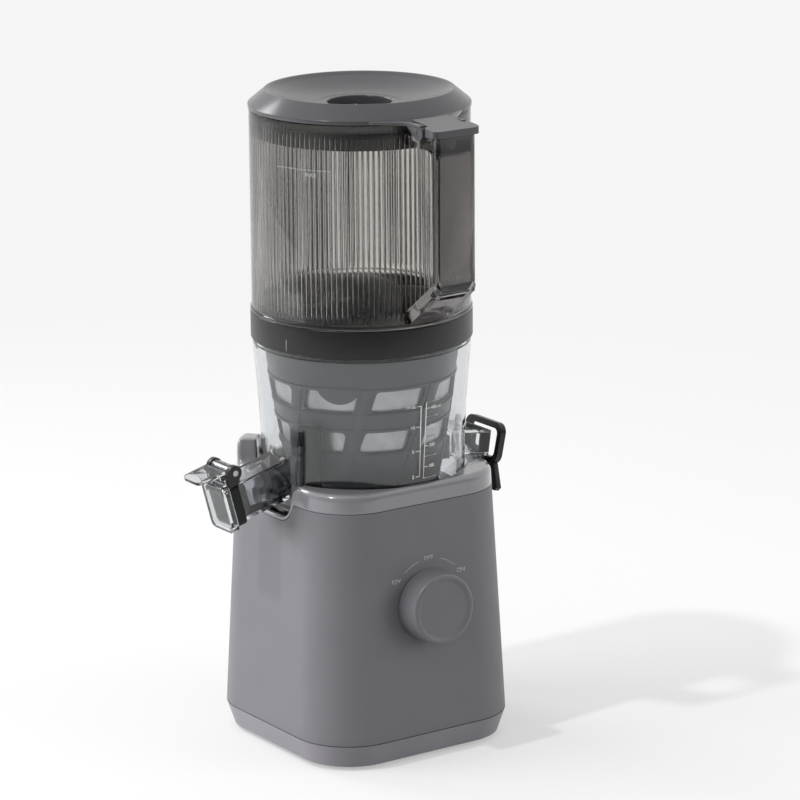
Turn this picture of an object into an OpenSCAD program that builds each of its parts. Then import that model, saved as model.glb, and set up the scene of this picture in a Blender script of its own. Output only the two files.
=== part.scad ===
// Cold press juicer: motor base, clear juicing bowl, conical strainer and auger, smoke hopper with
// a fluted drum and a lid hinged above its handle.
// Z is up, the control knob faces -Y, the juice spout points to -X and the pulp outlet to +X.
// The origin is on the drive axis, on the plane that the feet stand on.

/* [Base housing] */
// Half side of the housing at its bottom seam
base_half = 81; // [76:0.5:88]
// Corner radius of the housing at its bottom seam
base_corner = 41; // [36:0.5:46]
// Half side of the housing at the deck seam
deck_half = 73.6; // [73.2:0.2:76]
// Corner radius of the housing at the deck seam
deck_corner = 38; // [34:0.5:42]
// Wall of the housing and of the bottom tray
shell = 2.6; // [2:0.1:3.2]
// Height of the seam between the bottom tray and the housing
seam_z = 18.5; // [16:0.5:22]
// Height of the seam between the housing and the deck
deck_seam_z = 178.5; // [174:0.5:180]
// Height of the deck's top face
deck_top_z = 191.2; // [189:0.2:193]
// How far the bottom tray's lowest edge lies inside the seam
tray_taper = 5; // [1:0.5:8]
// Height of the tray's lowest edge above the floor
tray_z = 3; // [2.5:0.5:4]
// Radius of a rubber foot
foot_r = 9; // [7:0.5:11]
// Distance of each foot's centre from the tray's lowest edge
foot_inset = 26; // [22:1:30]
// Distance of each tray screw from the inside of the corner, along both sides
tray_screw_inset = 6.2; // [5.5:0.1:8]
// Distance of each deck screw's centre from the bowl's seat
deck_screw_gap = 7.4; // [6.5:0.1:9]

/* [Deck] */
// Wall between the round seat for the bowl and the middle of the deck's side
seat_wall = 3.2; // [2.8:0.1:4]
// Height of the seat's floor
seat_z = 163; // [161:0.5:165]
// Half width of the notch that a spout passes through
notch_half = 22; // [20:0.5:25]
// Height of the notch's lowest point
notch_z = 167; // [165:0.5:170]
// Radius of the notch's bottom corners
notch_r = 13; // [8:0.5:16]
// Radius that flares the notch's upper corners
notch_flare = 7; // [4:0.5:9]
// Height of the two rear bowl guides
guide_z = 206; // [198:0.5:212]

/* [Knob] */
// Height of the knob's centre on the front face
knob_z = 108.5; // [100:0.5:120]
// Diameter of the knob
knob_d = 48; // [40:0.5:54]
// Depth of the knob
knob_h = 19; // [14:0.5:24]
// Width of the knob's raised rim
knob_rim = 3.6; // [2.5:0.1:5]
// Depth of the dish in the knob's face
knob_dish = 1.5; // [0.8:0.1:2.5]
// Radius of the knob's shaft
knob_shaft_r = 3; // [2.5:0.1:3.5]

/* [Motor] */
// Outer radius of the motor can
can_r = 34; // [32:0.5:36]
// Height of the can's lowest face
can_z = 26; // [25:0.5:28]
// Height of the can's top face
can_top_z = 92; // [90:0.5:94]
// Radius of the rotor's iron core
core_r = 15; // [12:0.5:18]
// Radius of the rotor's shaft
rotor_shaft_r = 3; // [2.5:0.1:4]

/* [Gearbox] */
// Teeth of the motor pinion
pinion_teeth = 10; // [10:1:12]
// Teeth of the wheel that the motor pinion drives
wheel_teeth = 46; // [44:1:48]
// Module of the first gear pair
first_module = 1; // [0.9:0.1:1]
// Teeth of the second pinion
second_teeth = 12; // [12:1:13]
// Teeth of the output gear
output_teeth = 44; // [42:1:44]
// Module of the second gear pair
second_module = 1.5; // [1.4:0.1:1.5]
// Radius of the pin that the idler gear turns on
idler_pin_r = 4; // [3:0.1:5]
// Radius of the round part of the output shaft
shaft_r = 8; // [7:0.1:9]
// Distance across the flats of the output shaft's hexagon
hex_flats = 13.6; // [12:0.1:13.8]

/* [Bowl] */
// Height of the bowl's upper rim
bowl_top_z = 281; // [278:0.5:284]
// Play round the bowl where it enters the deck
bowl_play = 1.2; // [0.8:0.1:2]
// How much wider the bowl is at its upper rim than where it enters the deck
bowl_flare = 5; // [3:0.1:6]
// Wall of the bowl
bowl_wall = 2.2; // [1.8:0.1:2.6]
// Height of the bowl's inside floor
bowl_floor_z = 173; // [172:0.5:174]
// Downward slope of the juice spout
spout_slope = 15; // [10:1:18]
// Half width of the juice spout
spout_half_w = 11.5; // [10:0.5:13]
// Half height of the juice spout
spout_half_h = 13.6; // [12:0.2:14]
// Length of the juice spout from the bowl's side
spout_len = 38; // [32:0.5:44]
// Wall of the spouts
spout_wall = 2; // [1.6:0.1:2.4]
// Downward slope of the pulp outlet
pulp_slope = 8; // [4:1:10]
// Half width of the pulp outlet
pulp_half_w = 16; // [14:0.5:17]
// Half height of the pulp outlet
pulp_half_h = 9; // [8:0.5:10]
// Length of the pulp outlet from the bowl's side
pulp_len = 27; // [24:0.5:30]

/* [Strainer and auger] */
// Outer radius of the strainer at its foot
strainer_foot_r = 50.5; // [48:0.5:52]
// Play round the strainer's top inside the bowl's neck
strainer_play = 1.1; // [0.8:0.1:3]
// Height of the strainer's top rim
strainer_top_z = 277.5; // [274:0.5:279]
// Wall of the strainer frame
strainer_wall = 2.4; // [2:0.1:3]
// Windows in each row of the strainer
windows = 8; // [6:1:10]
// Height of each window
window_h = 15; // [12:0.5:18]
// Width of the ribs between the windows
rib_w = 9.5; // [6:0.5:12]
// Slant of those ribs
rib_slant = 15; // [0:1:25]
// Corner radius of a window
window_r = 3; // [1:0.5:5]
// Running gap between the auger's flights and the strainer
flight_gap = 1.2; // [0.8:0.1:2]
// Turns of each auger flight
flight_turns = 1.15; // [0.8:0.05:1.5]
// Width of a flight as an angle around the auger
flight_angle = 24; // [16:1:30]

/* [Hopper] */
// Wall of the drum
drum_wall = 2.6; // [2:0.1:3]
// Height of the drum's lower edge
drum_z = 300.4; // [298:0.2:303]
// How far the black lock ring stands out round the drum
ring_edge = 1; // [0.6:0.1:2]
// Radius of the opening in the hopper's floor
floor_hole_r = 38; // [34:0.5:42]
// Angle that the hopper turns to unlock from the bowl
twist_angle = 28; // [24:1:34]
// Half width of the handle's grip
grip_half_w = 15.5; // [14:0.5:17]
// Distance of the grip's outer face from the drum
grip_reach = 37.8; // [34:0.2:42]
// Thickness of the grip
grip_t = 7.6; // [6:0.2:9]
// Thickness of the handle's top bridge
bridge_t = 6.8; // [5:0.2:9]

/* [Lid] */
// Height of the lid's rim
lid_top_z = 450; // [447:0.5:453]
// Height of the lid's rim above the drum's edge
lid_rise = 12.3; // [10:0.1:15]
// Width of the lid's sloping bevel
lid_bevel = 11.3; // [8:0.1:14]
// How far the lid's band stands out past the drum
lid_edge = 0.6; // [0.3:0.1:1]
// Radius of the feed hole
feed_r = 21.5; // [18:0.5:24]
// Distance of the hinge pin from the drum
hinge_reach = 19.3; // [18:0.1:21]
// Depth of the hinge pin below the drum's edge
hinge_drop = 2.5; // [1.5:0.1:3.5]
// Radius of the hinge pin
hinge_pin_r = 1.5; // [1.2:0.1:1.8]
// Half width across the lid's two hinge ears
ear_half_w = 18; // [17:0.5:19]
// Thickness of a hinge ear
ear_t = 3.5; // [3:0.1:4]

/* [Fits] */
// Radial clearance of a shaft that turns in its bearing
running = 0.05; // [0.03:0.01:0.08]
// Gap between two pieces that are seated but move apart
seat_gap = 0.3; // [0.2:0.05:0.4]

/* [Hidden] */
$fn = 96;
eps = 0.01;
// side, corner radius and draft of the tapered housing at a height
function grow(z) = (z - seam_z) / (deck_seam_z - seam_z);
function half_at(z) = base_half + (deck_half - base_half) * grow(z);
function corner_at(z) = base_corner + (deck_corner - base_corner) * grow(z);
draft = atan((base_half - deck_half) / (deck_seam_z - seam_z));
// distance of the wall's inside from both centre planes, in the middle of a corner
function wall_at(z) = half_at(z) - corner_at(z) + (corner_at(z) - shell) * cos(45);
knob_y = half_at(knob_z);
tray_half = base_half - tray_taper;
tray_corner = base_corner - tray_taper + 0.5;
foot_at = tray_half - foot_inset;
tray_screw_at = wall_at(seam_z) - tray_screw_inset;
// radii of the bowl, the strainer and the hopper, from the deck's side inwards and up
seat_r = deck_half - seat_wall;
deck_screw_at = (seat_r + deck_screw_gap) * cos(45);
bowl_deck_r = seat_r - bowl_play;
bowl_top_r = bowl_deck_r + bowl_flare;
bowl_mid_r = bowl_deck_r + 1.4;
bowl_neck_r = bowl_top_r - 4.4;
strainer_top_r = bowl_neck_r - bowl_wall - strainer_play;
drum_r = bowl_top_r;
ring_r = drum_r + ring_edge;
floor_r = drum_r - 2;
lid_r = drum_r + lid_edge;
lid_rim_r = lid_r - lid_bevel;
skirt_r = drum_r - drum_wall - 1.2;
boss_r = 5;
ledge_r = 5.5;
ledge_h = 11;
ledge_z = seat_z - 4 - ledge_h;
// control board on the tray, and the cord's gland in the rear face
board_y = -54;
board_hole_x = 24;
board_hole_y = 12;
board_lift = 11;
gland_x = 28;
gland_z = 34;
// bowl profile, outside
bowl_foot_z = seat_z + seat_gap;
bowl_mid_z = 234;
bowl_neck_z = bowl_top_z + 10;
// where the spouts leave the bowl's side
spout_x = bowl_deck_r - 0.7;
spout_z = deck_top_z + 1.4;
pulp_z = deck_top_z + 4.8;
// cap hinge, in the spout's own frame: u along the spout, v across it
cap_u = 39;
cap_v = 22.5;
cap_pin_r = 2;
cap_boss_r = 5.2;
cap_half_w = 13.5;
seal_u = spout_len + 0.6;
plate_u = seal_u + 7.4;
plate_t = 5.5;
// pulp gate hinge
gate_x = spout_x + pulp_len - 2.5;
gate_z = pulp_z - 18;
gate_pin_r = 1.5;
gate_tilt = 12;
// strainer taper
strainer_foot_z = bowl_floor_z + seat_gap;
function strainer_r(z) = strainer_foot_r
    + (strainer_top_r - strainer_foot_r) * (z - strainer_foot_z) / (strainer_top_z - strainer_foot_z);
// auger
auger_z = bowl_floor_z + 8;
flight_z = auger_z + 2;
flight_top_z = strainer_top_z - 15.5;
head_z = drum_z + 1.6;
shaft_top_z = auger_z + 24;
// gear train
idler_y = second_module * (output_teeth + second_teeth) / 2;
motor_y = idler_y - first_module * (pinion_teeth + wheel_teeth) / 2;
motor_post_at = 22;
wheel_z = 104;
wheel_h = 7;
second_h = 13;
output_z = 113;
output_h = 10;
case_z = 98;
cover_z = 126;
cover_t = 4;
hub_r = 20;
hub_z = seat_z - 17;
seal_z = seat_z - 5;
deck_edge_z = deck_top_z - 7.2;
// the bayonet lugs part once the hopper has turned by more than their width
lug_angle = twist_angle - 4;
// lid
drum_top_z = lid_top_z - lid_rise;
lid_band_z = drum_top_z + seat_gap;
bevel_z = lid_band_z + 2.6;
mate_r = 13.4;
feed_z = lid_top_z - 5;
chute_z = feed_z - 14;
skirt_z = lid_band_z - 18;
lid_seal_z = skirt_z + 8;
flap_y = feed_r - 3.9;
flap_z = chute_z + 2.6;
flap_pin_r = 1;
// hopper and handle
floor_z = drum_z - 3.9;
grip_y = drum_r + grip_reach;
hinge_y = drum_r + hinge_reach;
hinge_z = drum_top_z - hinge_drop;
web_z = drum_z + 30.6;
grip_top_z = hinge_z - 1.2;
bridge_top_z = hinge_z - 4.4;
bridge_z = bridge_top_z - bridge_t;
bridge_half_w = ear_half_w - ear_t - 0.5;
cap_plate_half_w = grip_half_w + 3;
function cap_top(y) = hinge_z + 3.4 + (y + grip_y + 1) * 0.105;
// strainer windows: the middle height of each row, and the mesh's thickness
window_rows = [strainer_foot_z + 46, strainer_foot_z + 75];
mesh_t = 0.5;
// the ribs lean this much sideways for each mm up, about their middle height
rib_lean = tan(rib_slant);
rib_mid_z = (window_rows[0] + window_rows[1]) / 2;
rib_r = strainer_r(rib_mid_z);
rib_phase = 104;
tab_r = 16.5;
tab_z = window_rows[1] + window_h / 2 + 8;
bush_r = 11;
// pulp gate frame
gate_half_w = 21;
gate_h = 28.5;

// ---- shared shapes ----

// a square with round corners, from its half side and corner radius
module round_square(half, corner) {
    square([2 * half, 2 * (half - corner)], center = true);
    square([2 * (half - corner), 2 * half], center = true);
    for (sx = [-1, 1], sy = [-1, 1])
        translate([sx * (half - corner), sy * (half - corner)]) circle(r = corner);
}

// a rectangle with round corners, from its half sides and corner radius
module round_rect(hx, hy, r) {
    square([2 * hx, 2 * (hy - r)], center = true);
    square([2 * (hx - r), 2 * hy], center = true);
    for (sx = [-1, 1], sy = [-1, 1])
        translate([sx * (hx - r), sy * (hy - r)]) circle(r = r, $fn = 32);
}

module slab(half, corner, z) {
    translate([0, 0, z]) linear_extrude(eps) round_square(half, corner);
}

// the tapered body form between two heights, moved in by inset
module body_form(inset, z0, z1) {
    hull() {
        slab(half_at(z0) - inset, corner_at(z0) - inset, z0);
        slab(half_at(z1) - inset, corner_at(z1) - inset, z1 - eps);
    }
}

function direction(a) = [cos(a), sin(a)];

module tube(r, bore, z0, z1) {
    translate([0, 0, z0]) difference() {
        cylinder(r = r, h = z1 - z0);
        translate([0, 0, -1]) cylinder(r = bore, h = z1 - z0 + 2);
    }
}

module four(at) {
    for (sx = [-1, 1], sy = [-1, 1]) translate([sx * at, sy * at, 0]) children();
}

// extrudes a profile drawn in Y and Z along X
module along_x(x0, x1) {
    translate([x0, 0, 0]) rotate([90, 0, 90]) linear_extrude(x1 - x0) children();
}

// extrudes a profile drawn in X and Z along Y, centred
module along_y(width) {
    rotate([90, 0, 0]) translate([0, 0, -width / 2]) linear_extrude(width) children();
}

// the U of a spout notch, drawn in Y and Z, open at the top
module notch_profile(grow_by) {
    w = notch_half + grow_by;
    z = notch_z - grow_by;
    r = notch_r + grow_by;
    top = deck_top_z + 20;
    translate([-w, z + r]) square([2 * w, top - z - r]);
    translate([-(w - r), z]) square([2 * (w - r), top - z]);
    for (s = [-1, 1]) translate([s * (w - r), z + r]) circle(r = r);
}

// the flared upper corners of a notch in the deck
module notch_flares() {
    w = notch_half + notch_flare;
    difference() {
        translate([-w, deck_top_z - notch_flare]) square([2 * w, notch_flare + 20]);
        for (s = [-1, 1]) translate([s * w, deck_top_z - notch_flare]) circle(r = notch_flare);
    }
}

// stands a shape on the front face at the knob, its Z pointing out of the face
module on_face() {
    translate([0, -knob_y, knob_z]) rotate([90 - draft, 0, 0]) children();
}

// stands a shape in the juice spout's frame: X along the spout, Z across it
module on_spout() {
    translate([-spout_x, 0, spout_z]) rotate([0, -spout_slope, 0]) mirror([1, 0, 0]) children();
}

// stands a shape in the pulp outlet's frame
module on_pulp() {
    translate([spout_x, 0, pulp_z]) rotate([0, pulp_slope, 0]) children();
}

// one involute flank's point at radius r: [radius, angle from the tooth's centre]
function inv(a) = tan(a) * 180 / PI - a;
function flank(m, n, r, thin) = let (rp = m * n / 2, rb = rp * cos(20),
    half_tooth = 90 / n - thin / (2 * rp) * 180 / PI, a = acos(min(1, rb / max(r, rb))))
    half_tooth + inv(20) - inv(a);

// the outline of an involute gear with one tooth centred on +X
module gear_profile(m, n) {
    rp = m * n / 2;
    root = rp - 1.2 * m;
    tip = rp + 0.95 * m;
    low = max(root + 0.1 * m, rp * cos(20));
    rings = [low, (low + rp) / 2, rp, (rp + tip) / 2, tip];
    polygon([for (i = [0 : n - 1]) for (p = concat([[root, -1]], [for (r = rings) [r, -1]],
        [for (k = [4 : -1 : 0]) [rings[k], 1]], [[root, 1]]))
        let (a = 360 * i / n + p[1] * flank(m, n, max(p[0], low), 0.12)) p[0] * [cos(a), sin(a)]]);
}

// phase of the second gear of a pair whose centres lie along the angle phi
function mesh_phase(phi, n1, turn1, n2) = phi + 180 - (0.5 - (phi - turn1) * n1 / 360) * 360 / n2;

// ---- base ----

module housing() {
    color("#85868b") difference() {
        union() {
            difference() {
                body_form(0, seam_z + 0.4, deck_seam_z - 0.4);
                body_form(shell, seam_z - 1, deck_seam_z + 1);
            }
            // screw bosses for the tray and ledges for the deck
            intersection() {
                union() {
                    for (k = [tray_screw_at, wall_at(seam_z) - 2]) four(k)
                        translate([0, 0, seam_z + 0.4]) cylinder(r = boss_r, h = 30);
                    for (k = [deck_screw_at, wall_at(ledge_z) - 2]) four(k)
                        translate([0, 0, ledge_z]) cylinder(r = ledge_r, h = ledge_h);
                }
                body_form(shell / 2, seam_z - 1, deck_seam_z + 1);
            }
        }
        translate([0, 0, seat_z - 4]) cylinder(r = seat_r + 2.4, h = 30);
        for (s = [0, 1]) mirror([s, 0, 0]) along_x(60, 90) notch_profile(2.4);
        four(tray_screw_at) translate([0, 0, seam_z - 1]) cylinder(r = 1.5, h = 22);
        four(deck_screw_at) translate([0, 0, ledge_z - 8]) cylinder(r = 1.8, h = 30);
        on_face() translate([0, 0, -8]) cylinder(r = 5.1, h = 16);
        translate([gland_x, half_at(gland_z) - shell, gland_z]) rotate([draft - 90, 0, 0])
            translate([0, 0, -5]) cylinder(r = 6.1, h = 20);
    }
}

module bottom_tray() {
    color("#77787d") difference() {
        union() {
            difference() {
                hull() {
                    slab(tray_half, tray_corner, tray_z);
                    slab(base_half, base_corner, seam_z - eps);
                }
                hull() {
                    slab(tray_half - shell, tray_corner - shell, tray_z + shell);
                    slab(base_half - shell, base_corner - shell, seam_z + 1);
                }
            }
            four(tray_screw_at) translate([0, 0, tray_z]) cylinder(r = boss_r, h = seam_z - tray_z);
            motor_posts() cylinder(r = 6, h = can_z - 4 - tray_z);
            board_posts() cylinder(r = 3, h = board_lift);
        }
        // the screws come up through deep counterbores
        four(tray_screw_at) translate([0, 0, tray_z - 1]) cylinder(r = 3.4, h = 10);
        four(tray_screw_at) translate([0, 0, tray_z - 1]) cylinder(r = 1.8, h = 30);
        four(foot_at) translate([0, 0, tray_z - 1]) cylinder(r = 3.1, h = 10);
        for (i = [-4 : 4]) translate([i * 7 - 1.5, -34, tray_z - 1]) cube([3, 24, 6]);
    }
}

module motor_posts() {
    for (sx = [-1, 1], sy = [-1, 1]) translate([sx * motor_post_at, motor_y + sy * motor_post_at, tray_z])
        children();
}

module board_posts() {
    for (sx = [-1, 1], sy = [-1, 1]) translate([sx * board_hole_x, board_y + sy * board_hole_y, tray_z])
        children();
}

module feet() {
    color("#2b2b2d") four(foot_at) {
        cylinder(r = foot_r, h = tray_z);
        cylinder(r = 3, h = tray_z + shell + 2);
    }
}

module tray_screws() {
    color("silver") four(tray_screw_at) translate([0, 0, tray_z + 6.5]) {
        difference() {
            cylinder(r = 3, h = 2.5);
            translate([0, 0, -1]) cylinder(r = 1.2, h = 2.2, $fn = 6);
        }
        cylinder(r = 1.4, h = 24);
    }
}

module deck_screws() {
    color("silver") four(deck_screw_at) translate([0, 0, ledge_z - 2.5]) {
        difference() {
            cylinder(r = 3, h = 2.5);
            translate([0, 0, -1]) cylinder(r = 1.2, h = 2.2, $fn = 6);
        }
        cylinder(r = 1.4, h = 24);
    }
}

// the corner guide that stands behind the bowl
module rear_guide() {
    hull() {
        intersection() {
            slab(deck_half - 0.8, deck_corner - 0.8, deck_top_z - 2);
            translate([deck_half - 29.6, deck_half - 31.6, 0]) cube([60, 60, 400]);
        }
        intersection() {
            slab(deck_half - 3, deck_corner - 3, guide_z - 5);
            translate([deck_half - 26.6, deck_half - 27.6, 0]) cube([60, 60, 400]);
        }
        intersection() {
            slab(deck_half - 8, deck_corner - 8, guide_z - eps);
            translate([deck_half - 24.6, deck_half - 24.6, 0]) cube([60, 60, 400]);
        }
    }
}

module deck() {
    color("#8f9095") difference() {
        union() {
            hull() {
                slab(half_at(deck_seam_z), corner_at(deck_seam_z), deck_seam_z);
                slab(half_at(deck_edge_z), corner_at(deck_edge_z), deck_edge_z);
                slab(deck_half - 1, deck_corner - 1, deck_top_z - 1.2);
                slab(deck_half - 2.2, deck_corner - 2.2, deck_top_z - eps);
            }
            translate([0, 0, seat_z - 3]) cylinder(r = seat_r + 2.2, h = deck_top_z - seat_z + 1);
            // lips that line the housing's notches
            intersection() {
                for (s = [0, 1]) mirror([s, 0, 0]) along_x(deck_half - 7.6, 90) intersection() {
                    notch_profile(2.2);
                    translate([-60, 0]) square([120, deck_seam_z + 2]);
                }
                body_form(0, notch_z - 47, deck_edge_z + 1);
            }
            four(deck_screw_at) translate([0, 0, ledge_z + ledge_h]) cylinder(r = 4.2, h = 22);
            translate([0, 0, hub_z]) cylinder(r = hub_r, h = seat_z - hub_z);
            gearbox_points() translate([0, 0, cover_z + cover_t])
                cylinder(r = 5, h = seat_z - cover_z - cover_t);
            for (s = [0, 1]) mirror([s, 0, 0]) rear_guide();
        }
        translate([0, 0, seat_z]) cylinder(r = seat_r, h = deck_top_z - seat_z + 1);
        translate([0, 0, deck_top_z]) cylinder(r = seat_r + 2.6, h = 40);
        for (s = [0, 1]) mirror([s, 0, 0]) along_x(60, 90) {
            notch_profile(0);
            notch_flares();
        }
        four(deck_screw_at) translate([0, 0, ledge_z + 2]) cylinder(r = 1.5, h = 22);
        gearbox_points() translate([0, 0, cover_z - 6]) cylinder(r = 1.5, h = 25);
        translate([0, 0, hub_z - 1]) cylinder(r = 14, h = seal_z - hub_z);
        translate([0, 0, hub_z - 1]) cylinder(r = 12, h = 40);
        // underside hollow between the cup and the outer wall
        difference() {
            body_form(shell, 150, deck_seam_z + 6);
            translate([0, 0, 100]) cylinder(r = seat_r + 2.2, h = 100);
            four(deck_screw_at) translate([0, 0, 100]) cylinder(r = 4.2, h = 100);
            for (s = [0, 1]) mirror([s, 0, 0]) along_x(60, 90) notch_profile(2.2);
        }
    }
}

// the four places where the gearbox hangs from the deck
module gearbox_points() {
    for (sx = [-1, 1]) {
        translate([sx * 24, -25, 0]) children();
        translate([sx * 22, 48, 0]) children();
    }
}

module motor_can() {
    color("#8b8d90") translate([0, motor_y, 0]) difference() {
        union() {
            translate([0, 0, can_z]) cylinder(r = can_r, h = can_top_z - can_z);
            translate([0, 0, can_z]) intersection() {
                for (a = [45 : 90 : 359]) rotate([0, 0, a]) translate([0, -6, 0]) cube([37, 12, 2]);
                cylinder(r = 37, h = 2);
            }
        }
        translate([0, 0, can_z + 2]) cylinder(r = can_r - 2, h = 100);
        translate([0, 0, can_z - 1]) cylinder(r = 4, h = 10);
        for (a = [45 : 90 : 359]) rotate([0, 0, a]) translate([31.11, 0, can_z - 1])
            cylinder(r = 1.7, h = 4);
        for (a = [0 : 30 : 359]) rotate([0, 0, a]) translate([can_r - 4, -2, can_top_z - 13])
            cube([8, 4, 9]);
    }
}

module motor_mounts() {
    color("#2b2b2d") motor_posts() translate([0, 0, can_z - 4 - tray_z]) {
        tube(6, 1.7, 0, 4);
    }
}

module motor_endbell() {
    color("#a7a9ac") translate([0, motor_y, 0]) difference() {
        translate([0, 0, can_top_z]) cylinder(r = can_r, h = case_z - can_top_z);
        translate([0, 0, can_top_z - 1]) cylinder(r = 9, h = 20);
        for (a = [20 : 40 : 359]) rotate([0, 0, a]) translate([22, 0, can_top_z - 1])
            cylinder(r = 4, h = 20);
    }
}

module motor_bearings() {
    color("silver") translate([0, motor_y, 0]) {
        tube(9, rotor_shaft_r + running, can_top_z, case_z);
        tube(9, rotor_shaft_r + running, can_z + 2, can_z + 8);
    }
}

module stator() {
    color("#6f6a66") translate([0, motor_y, 0]) difference() {
        translate([0, 0, 40]) cylinder(r = can_r - 2, h = 36);
        translate([0, 0, 39]) cylinder(r = core_r + 0.6, h = 40);
        for (a = [0 : 30 : 359]) rotate([0, 0, a]) translate([core_r + 2, -2, 39]) cube([9, 4, 40]);
    }
}

module windings() {
    color("#b06a3a") translate([0, motor_y, 0]) for (z = [40, 76])
        translate([0, 0, z]) rotate_extrude() translate([23, z == 40 ? -2.5 : 2.5])
            round_rect(6, 2.5, 2);
}

module rotor() {
    color("#75777a") translate([0, motor_y, 0]) {
        translate([0, 0, can_z + 2.5]) cylinder(r = rotor_shaft_r, h = wheel_z + wheel_h - can_z - 3.5);
        difference() {
            translate([0, 0, 41]) cylinder(r = core_r, h = 34);
            for (a = [0 : 20 : 359]) rotate([0, 0, a]) translate([core_r - 3, -0.8, 40])
                cube([4, 1.6, 40]);
        }
    }
}

module fan() {
    color("#303236") translate([0, motor_y, 0]) difference() {
        union() {
            translate([0, 0, 83]) cylinder(r = 6, h = 7);
            translate([0, 0, 83]) cylinder(r = 22, h = 1.4);
            for (a = [0 : 40 : 359]) rotate([0, 0, a]) translate([5, -0.7, 83]) cube([17, 1.4, 6]);
        }
        translate([0, 0, 80]) cylinder(r = rotor_shaft_r, h = 12);
    }
}

// ---- gear train ----

module motor_pinion() {
    color("#9a9c9f") translate([0, motor_y, wheel_z - 0.5]) difference() {
        linear_extrude(wheel_h - 0.5) rotate(90) gear_profile(first_module, pinion_teeth);
        translate([0, 0, -1]) cylinder(r = rotor_shaft_r, h = 20);
    }
}

module idler_gear() {
    color("#d8d4c8") translate([0, idler_y, 0]) difference() {
        union() {
            translate([0, 0, wheel_z]) linear_extrude(wheel_h)
                rotate(mesh_phase(90, pinion_teeth, 90, wheel_teeth))
                    gear_profile(first_module, wheel_teeth);
            translate([0, 0, wheel_z + wheel_h]) linear_extrude(second_h)
                rotate(-90) gear_profile(second_module, second_teeth);
        }
        translate([0, 0, wheel_z - 1]) cylinder(r = idler_pin_r + running, h = 40);
    }
}

module idler_pin() {
    color("silver") translate([0, idler_y, case_z + 1])
        cylinder(r = idler_pin_r, h = cover_z + cover_t - case_z - 1);
}

module output_gear() {
    color("#9a9c9f") translate([0, 0, output_z]) difference() {
        linear_extrude(output_h) rotate(mesh_phase(-90, second_teeth, -90, output_teeth))
            gear_profile(second_module, output_teeth);
        translate([0, 0, -1]) cylinder(r = shaft_r, h = 30);
        for (a = [0 : 60 : 359]) rotate([0, 0, a]) translate([20, 0, -1]) cylinder(r = 6, h = 30);
    }
}

module output_shaft() {
    color("#b9babc") difference() {
        union() {
            translate([0, 0, output_z]) cylinder(r = shaft_r, h = seat_z + 2 - output_z);
            translate([0, 0, seat_z]) cylinder(d = hex_flats / cos(30), h = shaft_top_z - seat_z, $fn = 6);
        }
        translate([0, 0, shaft_top_z - 1.2]) difference() {
            cylinder(r = 20, h = 4);
            translate([0, 0, -1]) cylinder(r1 = shaft_r + 0.2, r2 = shaft_r - 2.8, h = 3);
        }
    }
}

module gearbox_outline(grow_by) {
    r1 = second_module * output_teeth / 2 + 3.2 + grow_by;
    r2 = first_module * wheel_teeth / 2 + 2.4 + grow_by;
    t = asin((r1 - r2) / idler_y);
    circle(r = r1);
    translate([0, idler_y]) circle(r = r2);
    // the flanks lie a little inside the tangents, so that they cross the circles cleanly
    polygon([for (s = [-1, 1]) for (k = [0, 1]) let (j = s > 0 ? k : 1 - k, r = (j == 0 ? r1 : r2) - 0.3)
        [s * r * cos(t), j * idler_y + r * sin(t)]]);
}

module gearbox_case() {
    color("#9fa1a4") difference() {
        translate([0, 0, case_z]) linear_extrude(cover_z - case_z) gearbox_outline(4.4);
        translate([0, 0, case_z + 3]) linear_extrude(40) gearbox_outline(0);
        translate([0, motor_y, case_z - 1]) cylinder(r = 6.5, h = 10);
        translate([0, idler_y, case_z + 1]) cylinder(r = idler_pin_r, h = 10);
        gearbox_screw_points() translate([0, 0, case_z + 8]) cylinder(r = 1.2, h = 30);
        gearbox_points() translate([0, 0, cover_z - 2]) cylinder(r = 2.8, h = 3);
    }
}

module gearbox_screw_points() {
    for (a = [215, 325]) rotate([0, 0, a]) translate([38.6, 0, 0]) children();
    translate([0, idler_y, 0]) for (a = [35, 145]) rotate([0, 0, a]) translate([27.7, 0, 0]) children();
}

module gearbox_cover() {
    color("#a9abae") difference() {
        union() {
            translate([0, 0, cover_z]) linear_extrude(cover_t) gearbox_outline(4.4);
            translate([0, 0, cover_z]) cylinder(r = 18, h = 12);
        }
        translate([0, 0, cover_z + 2]) cylinder(r = 14, h = 40);
        translate([0, 0, cover_z - 1]) cylinder(r = 11, h = 40);
        translate([0, idler_y, cover_z - 1]) cylinder(r = idler_pin_r, h = 10);
        gearbox_points() translate([0, 0, cover_z - 1]) cylinder(r = 1.7, h = 10);
        gearbox_screw_points() translate([0, 0, cover_z - 1]) cylinder(r = 1.6, h = 10);
    }
}

module gearbox_screws() {
    color("silver") {
        gearbox_screw_points() translate([0, 0, case_z + 10]) {
            cylinder(r = 1.2, h = cover_z + cover_t - case_z - 10);
            translate([0, 0, cover_z + cover_t - case_z - 10]) cylinder(r = 2.4, h = 1.8);
        }
        gearbox_points() translate([0, 0, cover_z - 1.8]) {
            cylinder(r = 2.6, h = 1.8);
            cylinder(r = 1.5, h = 14);
        }
    }
}

module output_bearing() {
    color("silver") {
        tube(14, shaft_r + running, cover_z + 2, cover_z + 11);
        tube(14, shaft_r + running, hub_z, hub_z + 10);
    }
}

module shaft_seal() {
    color("#3a3b3d") difference() {
        union() {
            tube(12, shaft_r + running, seal_z - 1, seat_z);
            translate([0, 0, seat_z]) cylinder(r1 = 13.5, r2 = 9.5, h = 3);
        }
        translate([0, 0, seat_z - 1]) cylinder(r = shaft_r + running, h = 6);
    }
}

// ---- controls ----

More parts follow.
